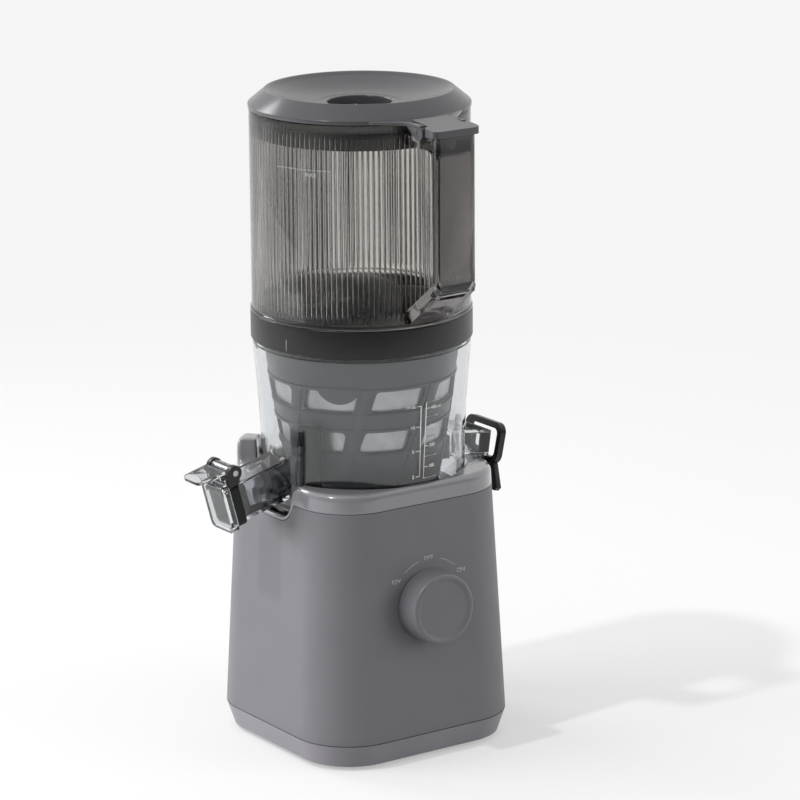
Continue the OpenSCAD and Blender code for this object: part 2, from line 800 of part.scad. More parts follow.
module control_board() {
    color("#2f6b45") translate([0, board_y, tray_z + board_lift]) {
        difference() {
            translate([-29, -16, 0]) cube([58, 32, 1.6]);
            for (sx = [-1, 1], sy = [-1, 1]) translate([sx * board_hole_x, sy * board_hole_y, -1])
                cylinder(r = 1.6, h = 4);
        }
        translate([-10, 0, 1.6]) cylinder(r = 6, h = 18);
        translate([4, -8, 1.6]) cube([14, 16, 8]);
        translate([-26, -4, 1.6]) cube([6, 9, 10]);
    }
}

module rotary_switch() {
    color("#2c2d30") difference() {
        union() {
            on_face() translate([-16, -16, -shell - 27.6]) cube([32, 32, 27.6]);
            on_face() translate([0, 0, -5]) cylinder(r = 4.9, h = 6);
            on_face() for (x = [-9, 0, 9]) translate([x - 2, 8, -35.6]) cube([4, 1, 6]);
        }
        on_face() translate([0, 0, -26]) cylinder(r = knob_shaft_r + running, h = 40);
    }
}

module knob_shaft() {
    color("silver") on_face() translate([0, 0, -25]) cylinder(r = knob_shaft_r, h = 25 + knob_h - 4);
}

module knob() {
    r = knob_d / 2;
    color("#7b7c81") on_face() difference() {
        rotate_extrude() {
            polygon([[0, 0.4], [r + 0.8, 0.4], [r, 4], [r, knob_h - 2], [r - 2, knob_h], [0, knob_h]]);
            translate([r - 2, knob_h - 2]) circle(r = 2, $fn = 32);
        }
        // shallow dish inside the raised rim, then the hollow underside and the shaft's bore
        rotate_extrude() polygon([[0, knob_h - knob_dish], [r - knob_rim - knob_dish, knob_h - knob_dish],
            [r - knob_rim, knob_h + 0.1], [0, knob_h + 0.1]]);
        difference() {
            translate([0, 0, -1]) cylinder(r = r - 2.6, h = knob_h - 3);
            cylinder(r = 6.5, h = knob_h);
        }
        translate([0, 0, -1]) cylinder(r = 6.6, h = 3.4);
        translate([0, 0, -1]) cylinder(r = knob_shaft_r, h = knob_h - 3);
    }
}

module interlock_switch() {
    color("#26272a") translate([-58, 30, seat_z - 3]) {
        translate([0, 0, -10]) cube([7, 14, 10]);
        for (y = [2, 6.5, 11]) translate([3, y, -14]) cube([1, 1, 5]);
    }
}

module cord_gland() {
    color("#2b2b2d") translate([gland_x, half_at(gland_z) - shell - 0.05, gland_z])
        rotate([draft - 90, 0, 0]) difference() {
        union() {
            translate([0, 0, -2.5]) cylinder(r = 6, h = shell + 2.7);
            translate([0, 0, -4]) cylinder(r = 9, h = 4);
                translate([0, 0, shell + 0.1]) cylinder(r1 = 8, r2 = 6.4, h = 3.4);
        }
        translate([0, 0, -8]) cylinder(r = 3.6, h = 30);
    }
}

// ---- bowl ----

// outside of the bowl as [radius, height] points, from the foot to the rim
function bowl_points(inset) = [[bowl_deck_r - 0.8 - inset, bowl_foot_z], [bowl_deck_r - inset, deck_top_z],
    [bowl_deck_r + 0.3 - inset, bowl_mid_z - 21], [bowl_mid_r - inset, bowl_mid_z],
    [bowl_top_r - 1.8 - inset, bowl_top_z - 23], [bowl_top_r - 0.5 - inset, bowl_top_z - 9],
    [bowl_top_r - inset, bowl_top_z]];

module bowl_solid(inset, z0, z1) {
    intersection() {
        rotate_extrude() polygon(concat([[0, bowl_foot_z]], bowl_points(inset), [[0, bowl_top_z]]));
        translate([0, 0, z0]) cylinder(r = 100, h = z1 - z0);
    }
}

module spout_duct(half_w, half_h, len) {
    translate([-14, -half_w, -half_h]) cube([14 + len, 2 * half_w, 2 * half_h]);
}

module juicing_bowl() {
    color("#dfe3e6", 0.4) difference() {
        union() {
            bowl_solid(0, bowl_foot_z, bowl_top_z);
            translate([0, 0, bowl_top_z - 4]) cylinder(r = bowl_neck_r, h = bowl_neck_z - bowl_top_z + 4);
            // bayonet lugs
            for (a = [0 : 120 : 359]) rotate([0, 0, a - lug_angle / 2]) rotate_extrude(angle = lug_angle)
                translate([bowl_neck_r - 1, bowl_top_z + 6]) square([2.8, 3]);
            on_spout() {
                spout_duct(spout_half_w, spout_half_h, spout_len);
                // lug that carries the cap's pin
                translate([cap_u - 4.5, -9.8, spout_half_h - 1])
                    cube([spout_len - cap_u + 4.5, 19.6, cap_v - spout_half_h + 1]);
                translate([cap_u, 9.8, cap_v]) rotate([90, 0, 0]) cylinder(r = 4.5, h = 19.6);
            }
            on_pulp() spout_duct(pulp_half_w, pulp_half_h, pulp_len);
            for (s = [-1, 1]) translate([gate_x, s * 9, 0]) along_y(4) {
                translate([0, gate_z]) circle(r = 3);
                translate([-3, gate_z]) square([6, 8]);
            }
        }
        bowl_solid(bowl_wall, bowl_floor_z, bowl_top_z - 3);
        translate([0, 0, bowl_top_z - 8]) cylinder(r = bowl_neck_r - bowl_wall, h = 40);
        // hollow foot below the floor
        translate([0, 0, bowl_foot_z - 1])
            cylinder(r = bowl_deck_r - 3.4, h = bowl_floor_z - bowl_foot_z - 2);
        translate([0, 0, 150]) cylinder(r = 13, h = 40);
        on_spout() spout_duct(spout_half_w - spout_wall, spout_half_h - spout_wall, spout_len + 1);
        on_pulp() spout_duct(pulp_half_w - spout_wall, pulp_half_h - spout_wall, pulp_len + 1);
        on_spout() translate([cap_u, 20, cap_v]) rotate([90, 0, 0]) cylinder(r = cap_pin_r, h = 40);
        translate([gate_x, 20, gate_z]) rotate([90, 0, 0]) cylinder(r = gate_pin_r, h = 40);
    }
    // hub that the auger's collar turns on
    color("#dfe3e6", 0.4) tube(16, 13, bowl_floor_z - 3, bowl_floor_z + 5);
}

module bowl_gasket() {
    color("#4a4b4e") tube(13, 9.3, bowl_floor_z - 3, bowl_floor_z + 5.6);
}

// silicone strip that keeps pulp out of the juice spout
module outlet_seal() {
    r = bowl_deck_r - bowl_wall;
    z = bowl_floor_z + 13;
    color("#1d1d1f") rotate([0, 0, -163]) rotate_extrude(angle = 14)
        polygon([[r - 2.6, z], [r - 0.2, z], [r - 0.2, z + 27], [r + 0.6, z + 44], [r - 1.4, z + 46],
            [r - 2.6, z + 42]]);
}

module strainer_shell(outward, inward, z0, z1) {
    rotate_extrude() polygon([[strainer_r(z0) - inward, z0], [strainer_r(z0) + outward, z0],
        [strainer_r(z1) + outward, z1], [strainer_r(z1) - inward, z1]]);
}

module strainer_frame() {
    chute_z0 = strainer_foot_z + 12.7;
    chute_z1 = chute_z0 + 16;
    color("#55565a") {
        difference() {
            union() {
                strainer_shell(0, strainer_wall, strainer_foot_z, strainer_top_z);
                tube(bowl_neck_r - bowl_wall - 0.4, strainer_top_r - 1.4, strainer_top_z - 2.4,
                    strainer_top_z);
                tube(strainer_foot_r - 1, 17, strainer_foot_z, strainer_foot_z + 2.4);
                // rings above and below each row of windows
                for (z = window_rows) for (k = [-1, 1]) let (m = z + k * (window_h / 2 + 1.4))
                    strainer_shell(1, 0.2, m - 0.7, m + 0.7);
                // raised centres of the slanted ribs, which run on below the windows
                intersection() {
                    strainer_shell(0.8, 0.5, strainer_foot_z + 8, window_rows[1] + window_h / 2 + 2);
                    for (i = [0 : windows - 1]) rotate([0, 0, (i + 0.5) * 360 / windows - rib_phase])
                        translate([rib_r, 0, rib_mid_z]) rotate([-rib_slant, 0, 0])
                            cube([30, rib_w - 3, 110], center = true);
                }
                // chute that carries the pulp across to the outlet
                difference() {
                    translate([strainer_foot_r - 4, -13, chute_z0])
                        cube([bowl_deck_r - 4.7 - strainer_foot_r + 4, 26, 16]);
                    strainer_shell(0.2 - strainer_wall, 30, chute_z0 - 6, chute_z1 + 8);
                }
            }
            for (z = window_rows) for (i = [0 : windows - 1])
                rotate([0, 0, i * 360 / windows - rib_phase]) translate([40, (z - rib_mid_z) * rib_lean, z])
                    rotate([90, 0, 90]) linear_extrude(50) window_outline(z);
            translate([30, -11.4, chute_z0 + 1.6]) cube([60, 22.8, 12.8]);
            translate([0, 0, strainer_foot_z - 1]) cylinder(r = 17, h = 10);
        }
        // round tab that hangs over one upper window
        intersection() {
            strainer_shell(0.9, strainer_wall - 0.5, tab_z - tab_r - 1, window_rows[1] + window_h / 2 + 3);
            rotate([0, 0, -138.5]) translate([40, 0, tab_z]) rotate([0, 90, 0]) cylinder(r = tab_r, h = 50);
        }
    }
}

// one window between two slanted ribs, drawn flat: a parallelogram with round corners
module window_outline(z) {
    w = (strainer_r(z) - strainer_wall) * sin(180 / windows) - rib_w / 2;
    h = window_h / 2;
    x = w - window_r / cos(rib_slant);
    y = h - window_r;
    // the sides lie a little inside the tangents, so that they cross the circles cleanly
    q = window_r - 0.04;
    t = [q * cos(rib_slant), -q * sin(rib_slant)];
    for (sx = [-1, 1], sy = [-1, 1]) translate([sx * x + sy * y * rib_lean, sy * y]) circle(r = window_r);
    polygon([for (c = [[1, -1], [1, 1], [-1, 1], [-1, -1]]) for (k = [0, 1])
        let (m = [c[0] * x + c[1] * y * rib_lean, c[1] * y], side = (c[0] * c[1] > 0) == (k == 0))
            side ? m + c[0] * t : m + [0, c[1] * q]]);
}

module strainer_mesh() {
    z0 = window_rows[0] - window_h / 2 - 4;
    z1 = window_rows[1] + window_h / 2 + 4;
    r0 = strainer_r(z0) - strainer_wall - 0.05;
    r1 = strainer_r(z1) - strainer_wall - 0.05;
    color("#c9cacc") rotate_extrude()
        polygon([[r0 - mesh_t, z0], [r0, z0], [r1, z1], [r1 - mesh_t, z1]]);
}

// ---- juice cap ----

module juice_cap() {
    color("#dfe3e6", 0.4) on_spout() {
        difference() {
            translate([plate_u, 0, -1]) rotate([90, 0, 90]) linear_extrude(plate_t)
                round_rect(cap_half_w, 17, 4);
            // pocket behind the plate's face
            translate([plate_u - 1, 0, -2]) rotate([90, 0, 90]) linear_extrude(plate_t - 1.4)
                round_rect(cap_half_w - 2.4, 13, 3);
        }
        // thumb flap with a rounded tip
        translate([0, 0, cap_v + 1.3]) linear_extrude(2.2) {
            translate([plate_u - 1, -11.4]) square([14, 22.8]);
            translate([plate_u + 12, 0]) round_rect(7.6, 11.4, 5);
        }
        // cheeks that join the flap to the plate
        for (s = [-1, 1]) translate([0, s * 10.2, 0]) along_y(2.2)
            polygon([[plate_u + 0.2, 14], [plate_u + plate_t, 14], [plate_u + plate_t + 1.5, 18],
                [plate_u + 12, cap_v + 1.4], [plate_u + 3.2, cap_v + 1.4], [plate_u + 3.2, cap_v - 2],
                [plate_u + 0.2, cap_v - 2.2]]);
    }
}

module cap_hinge() {
    color("#222225") on_spout() difference() {
        union() {
            for (s = [-1, 1]) translate([0, s * 12.1, 0]) along_y(4) {
                translate([cap_u, cap_v]) circle(r = cap_boss_r);
                polygon([[cap_u - 1, 14.4], [plate_u, 14], [plate_u - 1, cap_v], [cap_u - 4, cap_v]]);
            }
            // saddle that joins the two bosses over the flap's root
            along_y(28.2) polygon([[plate_u - 2.2, cap_v - 2], [plate_u + 3, cap_v + 0.1],
                [plate_u + 3, cap_v + 1.2], [plate_u - 2.2, cap_v + 1.2]]);
        }
        translate([cap_u, 20, cap_v]) rotate([90, 0, 0]) cylinder(r = cap_pin_r + running, h = 40);
    }
}

module cap_seal() {
    color("#1d1d1f") on_spout() {
        difference() {
            translate([seal_u, 0, -1.2]) rotate([90, 0, 90]) linear_extrude(plate_u - seal_u)
                round_rect(cap_half_w - 1, 14.8, 3.4);
            translate([seal_u + 1.6, 0, -1.2]) rotate([90, 0, 90]) linear_extrude(20)
                round_rect(cap_half_w - 3.6, 12.2, 2.4);
        }
        // plug that fills the spout's mouth
        difference() {
            translate([seal_u - 6.6, 0, -0.2]) rotate([90, 0, 90]) linear_extrude(6.7)
                round_rect(spout_half_w - spout_wall - 0.5, 10.2, 2);
            translate([seal_u - 7, 0, -0.2]) rotate([90, 0, 90]) linear_extrude(6)
                round_rect(spout_half_w - spout_wall - 2.2, 8.4, 1.4);
        }
    }
}

module cap_pin() {
    color("silver") on_spout() translate([cap_u, 14.6, cap_v]) rotate([90, 0, 0])
        cylinder(r = cap_pin_r, h = 29.2);
}

// ---- pulp gate ----

module on_gate() {
    translate([gate_x, 0, gate_z]) rotate([0, gate_tilt, 0]) children();
}

module pulp_gate() {
    color("#1d1d1f") on_gate() difference() {
        union() {
            translate([3.4, 0, 0]) rotate([90, 0, 90]) linear_extrude(4.6) difference() {
                translate([0, gate_h / 2]) round_rect(gate_half_w, gate_h / 2, 7);
                translate([0, gate_h / 2]) round_rect(gate_half_w - 4.2, gate_h / 2 - 4.2, 4);
            }
            // thumb lever at the front lower corner
            translate([3.8, 0, 0]) rotate([90, 0, 90]) linear_extrude(3.8)
                polygon([[-2, 0.4], [-18, 0.8], [-26.5, -15], [-24, -17.6], [-13, -17], [-9, -8]]);
            rotate([90, 0, 0]) translate([0, 0, -6.6]) cylinder(r = 3, h = 13.2);
            translate([0, -6.6, -1.4]) cube([4, 13.2, 4.4]);
        }
        rotate([90, 0, 0]) translate([0, 0, -20]) cylinder(r = gate_pin_r + running, h = 40);
    }
}

module gate_pin() {
    color("silver") translate([gate_x, 11, gate_z]) rotate([90, 0, 0]) cylinder(r = gate_pin_r, h = 22);
}

module pulp_seal() {
    color("#1d1d1f") on_pulp() difference() {
        spout_seal_block(pulp_half_w - spout_wall, pulp_half_h - spout_wall, pulp_len - 8, 8);
        spout_seal_block(pulp_half_w - spout_wall - 1.4, pulp_half_h - spout_wall - 1.4, pulp_len - 9, 12);
    }
}

module spout_seal_block(half_w, half_h, u, len) {
    translate([u, -half_w, -half_h]) cube([len, 2 * half_w, 2 * half_h]);
}

// ---- auger ----

module auger() {
    r0 = strainer_r(flight_z) - strainer_wall - mesh_t - flight_gap;
    r1 = strainer_r(flight_top_z) - strainer_wall - mesh_t - flight_gap;
    color("#3a3b3f") difference() {
        union() {
            rotate_extrude() polygon([[0, auger_z], [32, auger_z], [33, auger_z + 3], [27, auger_z + 17],
                [22, auger_z + 54], [18.5, flight_top_z], [13, flight_top_z + 8], [13, head_z - 3],
                [0, head_z - 3]]);
            for (a = [0, 180]) rotate([0, 0, a]) translate([0, 0, flight_z])
                linear_extrude(flight_top_z - flight_z, twist = -360 * flight_turns, scale = r1 / r0,
                    slices = 44, $fn = 24)
                    polygon(concat([for (k = [-1 : 1]) 14 * direction(k * flight_angle)],
                        [for (k = [3 : -1 : -3]) r0 * direction(k * flight_angle / 6)]));
        }
        translate([0, 0, auger_z - 1]) cylinder(r = bush_r, h = shaft_top_z + 4 - auger_z);
        translate([0, 0, head_z - 9]) cylinder(r = 6, h = 20);
    }
}

module auger_bush() {
    color("silver") translate([0, 0, auger_z + 0.5]) difference() {
        cylinder(r = bush_r, h = shaft_top_z + 2 - auger_z);
        translate([0, 0, -1])
            cylinder(d = (hex_flats + 0.3) / cos(30), h = shaft_top_z + 4 - auger_z, $fn = 6);
    }
}

// dome and two swept wings that cut whole produce above the auger
module chopping_head() {
    color("#232427") {
        rotate_extrude() polygon([[0, head_z - 3], [26, head_z - 3], [30, head_z], [29, head_z + 4],
            [24, head_z + 9.4], [16, head_z + 13], [8, head_z + 15], [0, head_z + 15.6]]);
        translate([0, 0, head_z - 9]) cylinder(r = 6, h = 7);
        for (a = [0, 180]) rotate([0, 0, a]) translate([0, 0, head_z]) intersection() {
            linear_extrude(9) difference() {
                translate([30, -12]) circle(r = 34);
                translate([26, -18]) circle(r = 34.5);
                translate([-60, -100]) square([70, 200]);
            }
            rotate_extrude() polygon([[0, 0], [61, 0], [61, 2], [52, 6], [30, 9], [0, 9]]);
        }
    }
}

// ---- hopper ----

module hopper_drum() {
    color("#4b4f52", 0.5) difference() {
        union() {
            translate([0, 0, drum_z]) cylinder(r = drum_r, h = drum_top_z - drum_z);
            translate([0, 0, drum_z]) cylinder(r = ring_r, h = 1.6);
            translate([0, 0, drum_z + 1.6]) cylinder(r1 = ring_r, r2 = drum_r, h = 1.6);
        }
        translate([0, 0, drum_z - 1]) cylinder(r = drum_r - drum_wall, h = 200);
    }
}

module handle() {
    y0 = grip_y;
    y1 = grip_y - grip_t;
    color("#5a5e61", 0.6) difference() {
        union() {
            // grip
            translate([0, -(y0 + y1) / 2, web_z]) linear_extrude(grip_top_z - web_z)
                round_rect(grip_half_w, grip_t / 2, 3);
            // slanted foot that runs down to the drum's lower edge
            along_x(-grip_half_w + 0.6, grip_half_w - 0.6) polygon([[-y0 + 0.4, web_z + 3],
                [-y0 + 1.6, web_z - 1.5], [-drum_r - 3.4, drum_z + 3.4], [-drum_r + 4, drum_z + 3.4],
                [-drum_r + 4, drum_z + 9], [-y1 - 2, web_z + 5.6], [-y1, web_z + 9]]);
            // top bridge with a rounded inner corner
            along_x(-bridge_half_w, bridge_half_w) difference() {
                polygon([[-y0 + 2, bridge_z - 6], [-y1, bridge_z - 6], [-y1 + 6, bridge_z],
                    [-drum_r + 10, bridge_z], [-drum_r + 10, bridge_top_z], [-y0 + 2, bridge_top_z]]);
                translate([-y1 + 6, bridge_z - 6]) circle(r = 6);
            }
        }
        translate([0, 0, drum_z - 1]) cylinder(r = drum_r + 0.02, h = 200);
        translate([0, 0, drum_z - 1]) cylinder(r = ring_r + 0.1, h = 4.3);
        // pocket at the top of the slanted foot
        translate([-10, -y0 + 1, web_z - 12]) rotate([41, 0, 0]) cube([20, 14, 5]);
    }
}

module hopper_floor() {
    color("#1f2022") difference() {
        union() {
            translate([0, 0, floor_z]) cylinder(r = floor_r, h = drum_z - floor_z);
            translate([0, 0, floor_z - 12.5]) cylinder(r = floor_hole_r + 2.4, h = 14);
        }
        translate([0, 0, floor_z - 16.5]) cylinder(r = floor_hole_r, h = 30);
        translate([0, 0, drum_z - 1.8]) cylinder(r1 = floor_hole_r, r2 = floor_hole_r + 3, h = 3);
        for (a = [0 : 30 : 359]) rotate([0, 0, a]) translate([50, -1, drum_z - 1.4])
            cube([floor_r - 54.2, 2, 3]);
    }
}

module lock_ring() {
    color("#26272a") difference() {
        union() {
            tube(ring_r, floor_r, bowl_top_z + seat_gap, drum_z);
            for (a = [0 : 120 : 359]) rotate([0, 0, a - lug_angle / 2]) rotate_extrude(angle = lug_angle)
                translate([bowl_neck_r + 0.5, bowl_top_z + 2.4]) square([3, 3.2]);
        }
        // alignment tick
        rotate([0, 0, -133]) translate([ring_r - 0.6, -0.5, bowl_top_z]) cube([3, 1, 6]);
    }
}

module hopper_seal() {
    color("#4a4b4e") {
        tube(bowl_neck_r - 0.2, bowl_neck_r - 3.4, bowl_neck_z + seat_gap, floor_z);
        tube(bowl_neck_r + 1.4, bowl_neck_r - 1.8, floor_z - 2.1, floor_z);
    }
}

module handle_cap() {
    color("#2a2b2e") difference() {
        union() {
            // outer plate over the grip
            intersection() {
                translate([0, -grip_y + 5.5, grip_top_z - 4]) linear_extrude(20)
                    round_rect(cap_plate_half_w, 6.8, 4);
                along_x(-30, 30) let (y = -grip_y + 22) polygon([[-grip_y - 2, grip_top_z], [y, grip_top_z],
                    [y, cap_top(y)], [-grip_y - 2, cap_top(-grip_y - 2)]]);
            }
            // root that carries the hinge pin, ending in a cylinder about it
            along_x(-bridge_half_w, bridge_half_w) intersection() {
                union() {
                    translate([-hinge_y, hinge_z]) circle(r = mate_r);
                    translate([-grip_y + grip_t + 1, bridge_z - 4]) square([grip_y - grip_t - hinge_y, 30]);
                }
                let (y0 = -grip_y + grip_t + 1, y1 = -hinge_y + 33.5)
                    polygon([[y0, bridge_top_z], [y1, bridge_top_z], [y1, cap_top(y1)], [y0, cap_top(y0)]]);
            }
        }
        translate([-40, -hinge_y, hinge_z]) rotate([0, 90, 0]) cylinder(r = hinge_pin_r, h = 80);
    }
}

// ---- lid ----

module lid() {
    color("#2f3033") difference() {
        union() {
            rotate_extrude() polygon([[lid_r, lid_band_z], [lid_r, bevel_z - 0.9], [lid_r - 0.6, bevel_z],
                [lid_rim_r + 1.2, lid_top_z - 0.6], [lid_rim_r, lid_top_z],
                [lid_rim_r - 1.4, lid_top_z - 0.1],
                [lid_rim_r - 3, lid_top_z - 1], [feed_r + 9, feed_z - 0.4], [feed_r + 4, feed_z - 0.5],
                [feed_r + 2, feed_z], [feed_r + 0.7, feed_z - 0.2], [feed_r, feed_z - 1.2], [feed_r, chute_z],
                [feed_r + 2, chute_z], [feed_r + 2, feed_z - 3], [lid_rim_r - 4, lid_top_z - 3.6],
                [skirt_r - 1.8, bevel_z - 1], [skirt_r - 1.8, skirt_z], [skirt_r, skirt_z],
                [skirt_r, lid_band_z]]);
            lid_tongue();
            // ears round the hinge pin
            for (s = [-1, 1]) translate([s > 0 ? ear_half_w - ear_t : -ear_half_w, 0, 0]) along_x(0, ear_t)
            {
                translate([-hinge_y, hinge_z]) circle(r = 5.2);
                polygon([[-lid_r + 6, lid_band_z], [-lid_r + 6, bevel_z], [-hinge_y, hinge_z + 5.2],
                    [-hinge_y - 3, hinge_z], [-hinge_y + 2.5, hinge_z - 4.56], [-lid_r - 6, lid_band_z]]);
            }
        }
        translate([-40, -hinge_y, hinge_z]) rotate([0, 90, 0]) cylinder(r = hinge_pin_r + running, h = 80);
        translate([-14.2, flap_y, flap_z]) rotate([0, 90, 0]) cylinder(r = flap_pin_r, h = 28.4);
    }
}

// the tongue that flares out of the band and mates with the handle cap
module lid_tongue() {
    flare_r = 16;
    fx = ear_half_w + flare_r;
    fy = sqrt(pow(lid_r + flare_r, 2) - fx * fx);
    k = lid_r / (lid_r + flare_r);
    intersection() {
        translate([0, 0, lid_band_z]) linear_extrude(bevel_z - lid_band_z) difference() {
            polygon([[-fx * k, -fy * k], [-fx * k, -lid_r + 12], [fx * k, -lid_r + 12], [fx * k, -fy * k],
                [ear_half_w, -fy], [-ear_half_w, -fy]]);
            for (s = [-1, 1]) translate([s * fx, -fy]) circle(r = flare_r);
        }
        along_x(-60, 60) difference() {
            translate([-hinge_y - 6.5, lid_band_z - 8]) square([60, 20]);
            translate([-hinge_y, hinge_z]) circle(r = mate_r + seat_gap);
        }
    }
}

module lid_seal() {
    color("#4a4b4e") tube(drum_r - drum_wall - seat_gap, skirt_r, lid_seal_z, lid_seal_z + 3);
}

module lid_hinge_pin() {
    color("silver") translate([-ear_half_w + 0.4, -hinge_y, hinge_z]) rotate([0, 90, 0])
        cylinder(r = hinge_pin_r, h = 2 * ear_half_w - 0.8);
}

module feed_flap() {
    color("#1b1c1e") difference() {
        union() {
            translate([0, 0, flap_z - 0.4]) intersection() {
                cylinder(r = feed_r - 0.4, h = 2);
                translate([-40, -60, 0]) cube([80, 60 + flap_y - 9, 3]);
            }
            translate([-6.8, flap_y, flap_z]) rotate([0, 90, 0]) cylinder(r = 2.2, h = 13.6);
            translate([-6.8, flap_y - 10, flap_z - 0.4]) cube([13.6, 10, 2]);
            for (x = [-9, 9]) translate([x - 0.8, -14, flap_z - 3.4]) cube([1.6, 22, 3.2]);
        }
        translate([-20, flap_y, flap_z]) rotate([0, 90, 0]) cylinder(r = flap_pin_r + running, h = 40);
    }
}

module flap_pin() {
    color("silver") translate([-14, flap_y, flap_z]) rotate([0, 90, 0]) cylinder(r = flap_pin_r, h = 28);
}

module flap_spring() {
    color("silver") for (x = [-8.9, 7.1]) translate([x, flap_y, flap_z]) rotate([0, 90, 0])
        tube(1.7, flap_pin_r + 0.02, 0, 1.8);
}

housing();
bottom_tray();
deck();
feet();
tray_screws();
deck_screws();
motor_can();
motor_endbell();
stator();
windings();
motor_bearings();
motor_mounts();
rotor();
fan();
motor_pinion();
gearbox_case();
gearbox_cover();
gearbox_screws();
idler_pin();
idler_gear();
output_gear();
output_shaft();
output_bearing();
shaft_seal();
control_board();
rotary_switch();
interlock_switch();
cord_gland();
knob();
knob_shaft();
juicing_bowl();
bowl_gasket();
outlet_seal();
strainer_frame();
strainer_mesh();
juice_cap();
cap_hinge();
cap_seal();
cap_pin();
pulp_gate();
gate_pin();
pulp_seal();
auger();
auger_bush();
chopping_head();
hopper_drum();
handle();
hopper_floor();
lock_ring();
hopper_seal();
handle_cap();
lid();
lid_seal();
lid_hinge_pin();
feed_flap();
flap_pin();
flap_spring();
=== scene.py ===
import math

import bmesh
import bpy
import numpy as np
from mathutils import Matrix, Vector


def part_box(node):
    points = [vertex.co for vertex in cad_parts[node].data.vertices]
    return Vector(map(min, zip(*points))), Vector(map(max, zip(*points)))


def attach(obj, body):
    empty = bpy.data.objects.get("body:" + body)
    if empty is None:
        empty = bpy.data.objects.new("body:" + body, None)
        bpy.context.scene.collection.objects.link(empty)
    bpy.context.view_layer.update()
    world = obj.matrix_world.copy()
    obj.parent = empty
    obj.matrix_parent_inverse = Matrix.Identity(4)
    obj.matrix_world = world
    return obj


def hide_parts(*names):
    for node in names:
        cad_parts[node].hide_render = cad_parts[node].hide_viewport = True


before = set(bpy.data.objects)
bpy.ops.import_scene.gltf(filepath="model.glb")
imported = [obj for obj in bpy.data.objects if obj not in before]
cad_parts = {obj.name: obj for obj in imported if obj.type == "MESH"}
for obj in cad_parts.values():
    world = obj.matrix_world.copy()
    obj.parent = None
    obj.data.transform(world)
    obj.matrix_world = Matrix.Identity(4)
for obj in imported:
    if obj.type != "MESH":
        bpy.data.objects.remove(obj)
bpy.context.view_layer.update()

bl_info = {
    "name": "Cold press juicer",
    "version": (1, 0, 0),
    "blender": (4, 5, 0),
    "location": "View3D > Sidebar > Juicer",
    "description": "Builds the looks of a cold press juicer around its fixed frame",
    "category": "Add Mesh",
}

MM = 0.001


# ---- sizes and colours that a user would change ----

class JuicerStage(bpy.types.PropertyGroup):
    """Where the camera stands and how bright the studio is"""
    azimuth: bpy.props.FloatProperty(
        name="Azimuth", description="Turn of the camera round the juicer; below 0 is left of the front",
        default=math.radians(-34.57), subtype="ANGLE", unit="ROTATION")
    elevation: bpy.props.FloatProperty(
        name="Elevation", description="Height of the camera as an angle above level",
        default=math.radians(14.74), subtype="ANGLE", unit="ROTATION")
    roll: bpy.props.FloatProperty(
        name="Roll", description="Turn of the camera about its own axis",
        default=math.radians(-0.44), subtype="ANGLE", unit="ROTATION")
    distance: bpy.props.FloatProperty(
        name="Distance", description="Distance from the camera to the point it looks at",
        default=2.721, min=1.0, max=6.0, unit="LENGTH")
    aim_side: bpy.props.FloatProperty(
        name="Aim to the right", description="How far the aim lies to the right of the drive axis",
        default=0.0255, unit="LENGTH")
    aim_height: bpy.props.FloatProperty(
        name="Aim height", description="Height that the camera looks at",
        default=0.23404, unit="LENGTH")
    lens: bpy.props.FloatProperty(
        name="Lens", description="Focal length on a 36 mm sensor", default=180.0, min=50.0, max=300.0,
        unit="CAMERA")
    key_strength: bpy.props.FloatProperty(
        name="Key light", description="Strength of the small high light on the left", default=0.9, min=0.0,
        max=10.0)
    side_power: bpy.props.FloatProperty(
        name="Side light", description="Power of the large soft light behind on the left",
        default=66.0, min=0.0, unit="POWER")
    fill_power: bpy.props.FloatProperty(
        name="Fill light", description="Power of the soft light in front on the right", default=20.0, min=0.0,
        unit="POWER")
    rim_power: bpy.props.FloatProperty(
        name="Rim light", description="Power of the high light behind", default=16.0, min=0.0, unit="POWER")
    sky_strength: bpy.props.FloatProperty(
        name="Sky", description="Strength of the even light from all round", default=0.63, min=0.0, max=1.0)
    gloss_share: bpy.props.FloatProperty(
        name="Back share", description="Share of the pale studio's back half that gloss and glass show",
        default=0.95, min=0.0, max=1.0, subtype="FACTOR")
    front_gloss: bpy.props.FloatProperty(
        name="Front share", description="Share of the pale studio's front half that gloss and glass show",
        default=0.1, min=0.0, max=1.0, subtype="FACTOR")
    floor_gloss: bpy.props.FloatProperty(
        name="Floor in gloss", description="Share of the floor's light that glossy surfaces mirror",
        default=0.85, min=0.0, max=1.0, subtype="FACTOR")
    flag_left: bpy.props.FloatProperty(
        name="Left flag", description="Where the left flag ends, to the right of the drive axis",
        default=-0.024, min=-0.5, max=0.5, unit="LENGTH")
    flag_right: bpy.props.FloatProperty(
        name="Right flag", description="Where the right flag starts, to the right of the drive axis",
        default=0.055, min=-0.5, max=0.5, unit="LENGTH")
    flag_foot: bpy.props.FloatProperty(
        name="Flag foot", description="Height at which the flags start", default=0.238, min=0.0, max=0.5,
        unit="LENGTH")
    bounce: bpy.props.FloatProperty(
        name="Floor bounce", description="Share of its light that the floor throws back on the object",
        default=0.35, min=0.0, max=1.0, subtype="FACTOR")
    shadow_share: bpy.props.FloatProperty(
        name="Floor glow", description="Share of the floor's paleness that no shadow takes away",
        default=0.42, min=0.0, max=1.0, subtype="FACTOR")


